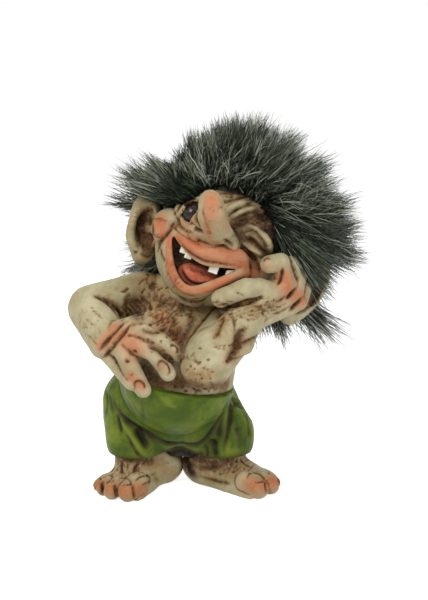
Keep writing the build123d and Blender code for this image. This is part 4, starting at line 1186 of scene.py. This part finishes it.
def spinesFrom(roots, ways, lengths, bends, wave, together=None, clump=None):
    # the points of each strand, from its root to its tip
    steps = strandValues["steps"]
    waves = chance.normal(0, wave, (len(roots), 3))
    phase = chance.uniform(0, 2 * pi, len(roots))
    rings = []
    for step in range(steps + 1):
        t = step / steps
        line = roots + ways * (lengths * t)[:, None]
        if together is not None:
            pull = (clump * min(1, t * strandValues["gather"]))[:, None]
            line = line * (1 - pull) + (together[0] + together[1] * (lengths * t)[:, None]) * pull
        line = line + bends * (lengths * t ** 2)[:, None]
        rings.append(line + waves * (np.sin(phase + strandValues["waveTurn"] * t) * t)[:, None])
    return np.stack(rings, 1)


def scalpSpot(pixel):
    # where the line of sight meets the scalp, looking on past whatever stands further out
    start, way = Vector(eyePoint * mm), Vector(pixelDirection(pixel))
    for _ in range(furValues["looks"]):
        spot = headTree.ray_cast(start, way)[0]
        if spot is None:
            return None
        if np.linalg.norm(np.array(spot) / mm - furCentre) < furValues["skinReach"]:
            return np.array(spot) / mm
        start = spot + way * furValues["lookStep"] * mm


def tuftSpine(tuft):
    # more hair in front of the hairline, rooted on the skin
    line, count = curvePoints(tuft["roots"], 1), tuft["count"]
    pixels = line[chance.integers(0, len(line), count)] + chance.normal(0, tuft["spread"], (count, 2))
    spots = [scalpSpot(pixel) for pixel in pixels]
    spots = np.array([spot for spot in spots if spot is not None])
    ways = unit(np.array(tuft["way"]) + chance.normal(0, tuftValues["scatter"], spots.shape))
    lengths = tuft["length"] * chance.uniform(*tuftValues["length"], len(spots))
    bends = np.array(tuft["bend"]) + chance.normal(0, tuftValues["bend"], spots.shape)
    spine = spinesFrom(spots, ways, lengths, bends, tuftValues["wave"])
    return spine, chance.uniform(0, 1, len(spots)) ** tuftValues["shadePower"] * tuft["shade"]


def trimmed(spine):
    # no strand stands out past the edge of the hair, but for a few strays
    root = spine[:, :1]
    span = np.linalg.norm(spine[:, [0, -1]] - furCentre, axis=2)
    owner = (unit(spine[:, 0] - furCentre) @ lockRoots.T).argmax(1)
    stray = chance.uniform(0, 1, len(spine)) < strandValues["strayShare"]
    strayLimit = chance.uniform(*strandValues["strayLimit"], len(spine))
    lockLimit = lockLimits[owner] * chance.uniform(*strandValues["limit"], len(spine))
    limit = furReach(unit(spine[:, -1] - furCentre)) * np.where(stray, strayLimit, lockLimit)
    share = np.clip((limit - span[:, 0]) / np.maximum(span[:, 1] - span[:, 0], 1), strandValues["shortest"], 1)
    spine = root + (spine - root) * share[:, None, None]
    # each is then drawn in until it lies inside the box
    low, high = boxLow + furValues["boxMargin"], boxHigh - furValues["boxMargin"]
    offset = spine - root
    upward, downward = (high - root) / np.maximum(offset, tiny), (root - low) / np.maximum(-offset, tiny)
    room = np.where(offset > 0, upward, downward)
    return root + offset * np.clip(room.min((1, 2)), 0, 1)[:, None, None]


def strandMesh(name, spine, shade):
    # three-sided strands, each a closed taper
    steps = strandValues["steps"]
    tangent = unit(spine[:, -1] - spine[:, 0])
    across = unit(np.cross(tangent, unit(chance.normal(0, 1, tangent.shape))))
    thick = chance.uniform(*strandValues["thickness"], len(spine))[:, None]
    around = np.cross(tangent, across)
    root, tip = strandValues["rootRadius"], strandValues["tipRadius"]
    widths = root + (tip - root) * np.linspace(0, 1, steps + 1) ** 1.5
    rows = []
    for step in range(steps):
        for corner in range(3):
            angle = 2 * pi * corner / 3
            rows.append(spine[:, step] + (across * cos(angle) + around * sin(angle)) * widths[step] * thick)
    rows.append(spine[:, steps])
    points = np.stack(rows, 1)
    each = points.shape[1]
    faces = [(2, 1, 0)]
    for step in range(steps - 1):
        for corner in range(3):
            a, b = step * 3 + corner, step * 3 + (corner + 1) % 3
            faces += [(a, b, b + 3), (a, b + 3, a + 3)]
    last = (steps - 1) * 3
    faces += [(last + corner, last + (corner + 1) % 3, last + 3) for corner in range(3)]
    corners = (np.array(faces)[None] + (np.arange(len(points)) * each)[:, None, None]).reshape(-1)

    mesh = bpy.data.meshes.new(name)
    mesh.vertices.add(len(points) * each)
    mesh.vertices.foreach_set("co", (points * mm).ravel())
    mesh.loops.add(len(corners))
    mesh.loops.foreach_set("vertex_index", corners)
    mesh.polygons.add(len(corners) // 3)
    mesh.polygons.foreach_set("loop_start", np.arange(0, len(corners), 3))
    mesh.polygons.foreach_set("loop_total", np.full(len(corners) // 3, 3))
    mesh.update(calc_edges=True)
    along = np.tile(np.append(np.repeat(np.arange(steps) / steps, 3), 1), len(points))
    for layer, values in (("along", along), ("shade", np.repeat(shade, each))):
        mesh.attributes.new(layer, "FLOAT", "POINT").data.foreach_set("value", values.astype(np.float32))
    return mesh


def growFur(name, index):
    tufts = furTufts.get(name, [])
    count = strandValues["count"] - sum(tuft["count"] for tuft in tufts)
    # roots in this gore, a sixth of the way round, by trial
    tries = unit(chance.normal(0, 1, (count * strandValues["triesEach"], 3)))
    rise = tries @ furAxis
    spin = np.degrees(np.arctan2(tries @ furThird, tries @ headSide)) % 360
    aside = np.abs((spin - 60 * index + 180) % 360 - 180)
    roots = tries[(rise * furValues["scalp"] > furValues["hairline"]) & (aside < 30)][:count]
    total = len(roots)
    lock = (roots @ lockRoots.T).argmax(1)
    loose = chance.uniform(0, 1, total) < strandValues["looseShare"]
    ways = waysFrom(roots, strandValues["scatter"])
    lengths = lockLengths[lock] * chance.uniform(*strandValues["length"], total) ** strandValues["lengthPower"]
    lengths[loose] = lockReach[lock][loose] * chance.uniform(*strandValues["looseLength"], loose.sum())
    clump = np.where(loose, strandValues["looseClump"], chance.uniform(*strandValues["clump"], total))
    bends = lockBends[lock] + chance.normal(0, strandValues["bend"], roots.shape)
    shade = lockShades[lock] * strandValues["lockShade"]
    shade = shade + chance.uniform(0, 1, total) * strandValues["ownShade"]
    # some strands are light: painted sheen of the glossy fibres, with a few pale fibres
    paleSheen = chance.uniform(0, 1, total) < strandValues["paleSheen"] * (0.5 + lockShades[lock])
    shade[paleSheen] = chance.uniform(*strandValues["paleSheenShade"], paleSheen.sum())
    spine = spinesFrom(roots * furValues["scalp"] + furCentre, ways, lengths, bends, strandValues["wave"],
                       (lockRoots[lock] * furValues["scalp"] + furCentre, lockWays[lock]), clump)
    for tuft in tufts:
        more, moreShade = tuftSpine(tuft)
        spine, shade = np.concatenate([spine, more]), np.append(shade, moreShade)
    # the hair parts round the ears and over the nose
    keep = np.ones(len(spine), bool)
    for centre, size in furValues["hairless"]:
        keep &= ~(np.abs((spine - centre) / size) < 1).all(2).any(1)
    mesh = strandMesh(name, trimmed(spine[keep]), shade[keep])
    piece = bpy.data.objects.new(name, mesh)
    bpy.context.collection.objects.link(piece)
    finishPiece(piece, [furNodes[name]], paints["fur"])


for index, name in enumerate(furNodes):
    growFur(name, index)
print("fur grown")

# the knitted cap and the pins stay, with their own finish


def steelMaterial():
    paint, shader = newMaterial("brightSteel", 0.3, Metallic=1.0)
    smears = noiseNode(paint, 700, 3, 0.5)
    colour = rampNode(paint, smears, [(0.3, (0.42, 0.41, 0.40)), (0.7, (0.62, 0.61, 0.60))])
    wired(shader, {"Base Color": colour})
    return paint


steel = steelMaterial()
for name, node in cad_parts.items():
    if name == "wig_cap":
        node.material_slots[0].material = paints["knit"]
    elif "pin" in name:
        node.material_slots[0].material = steel
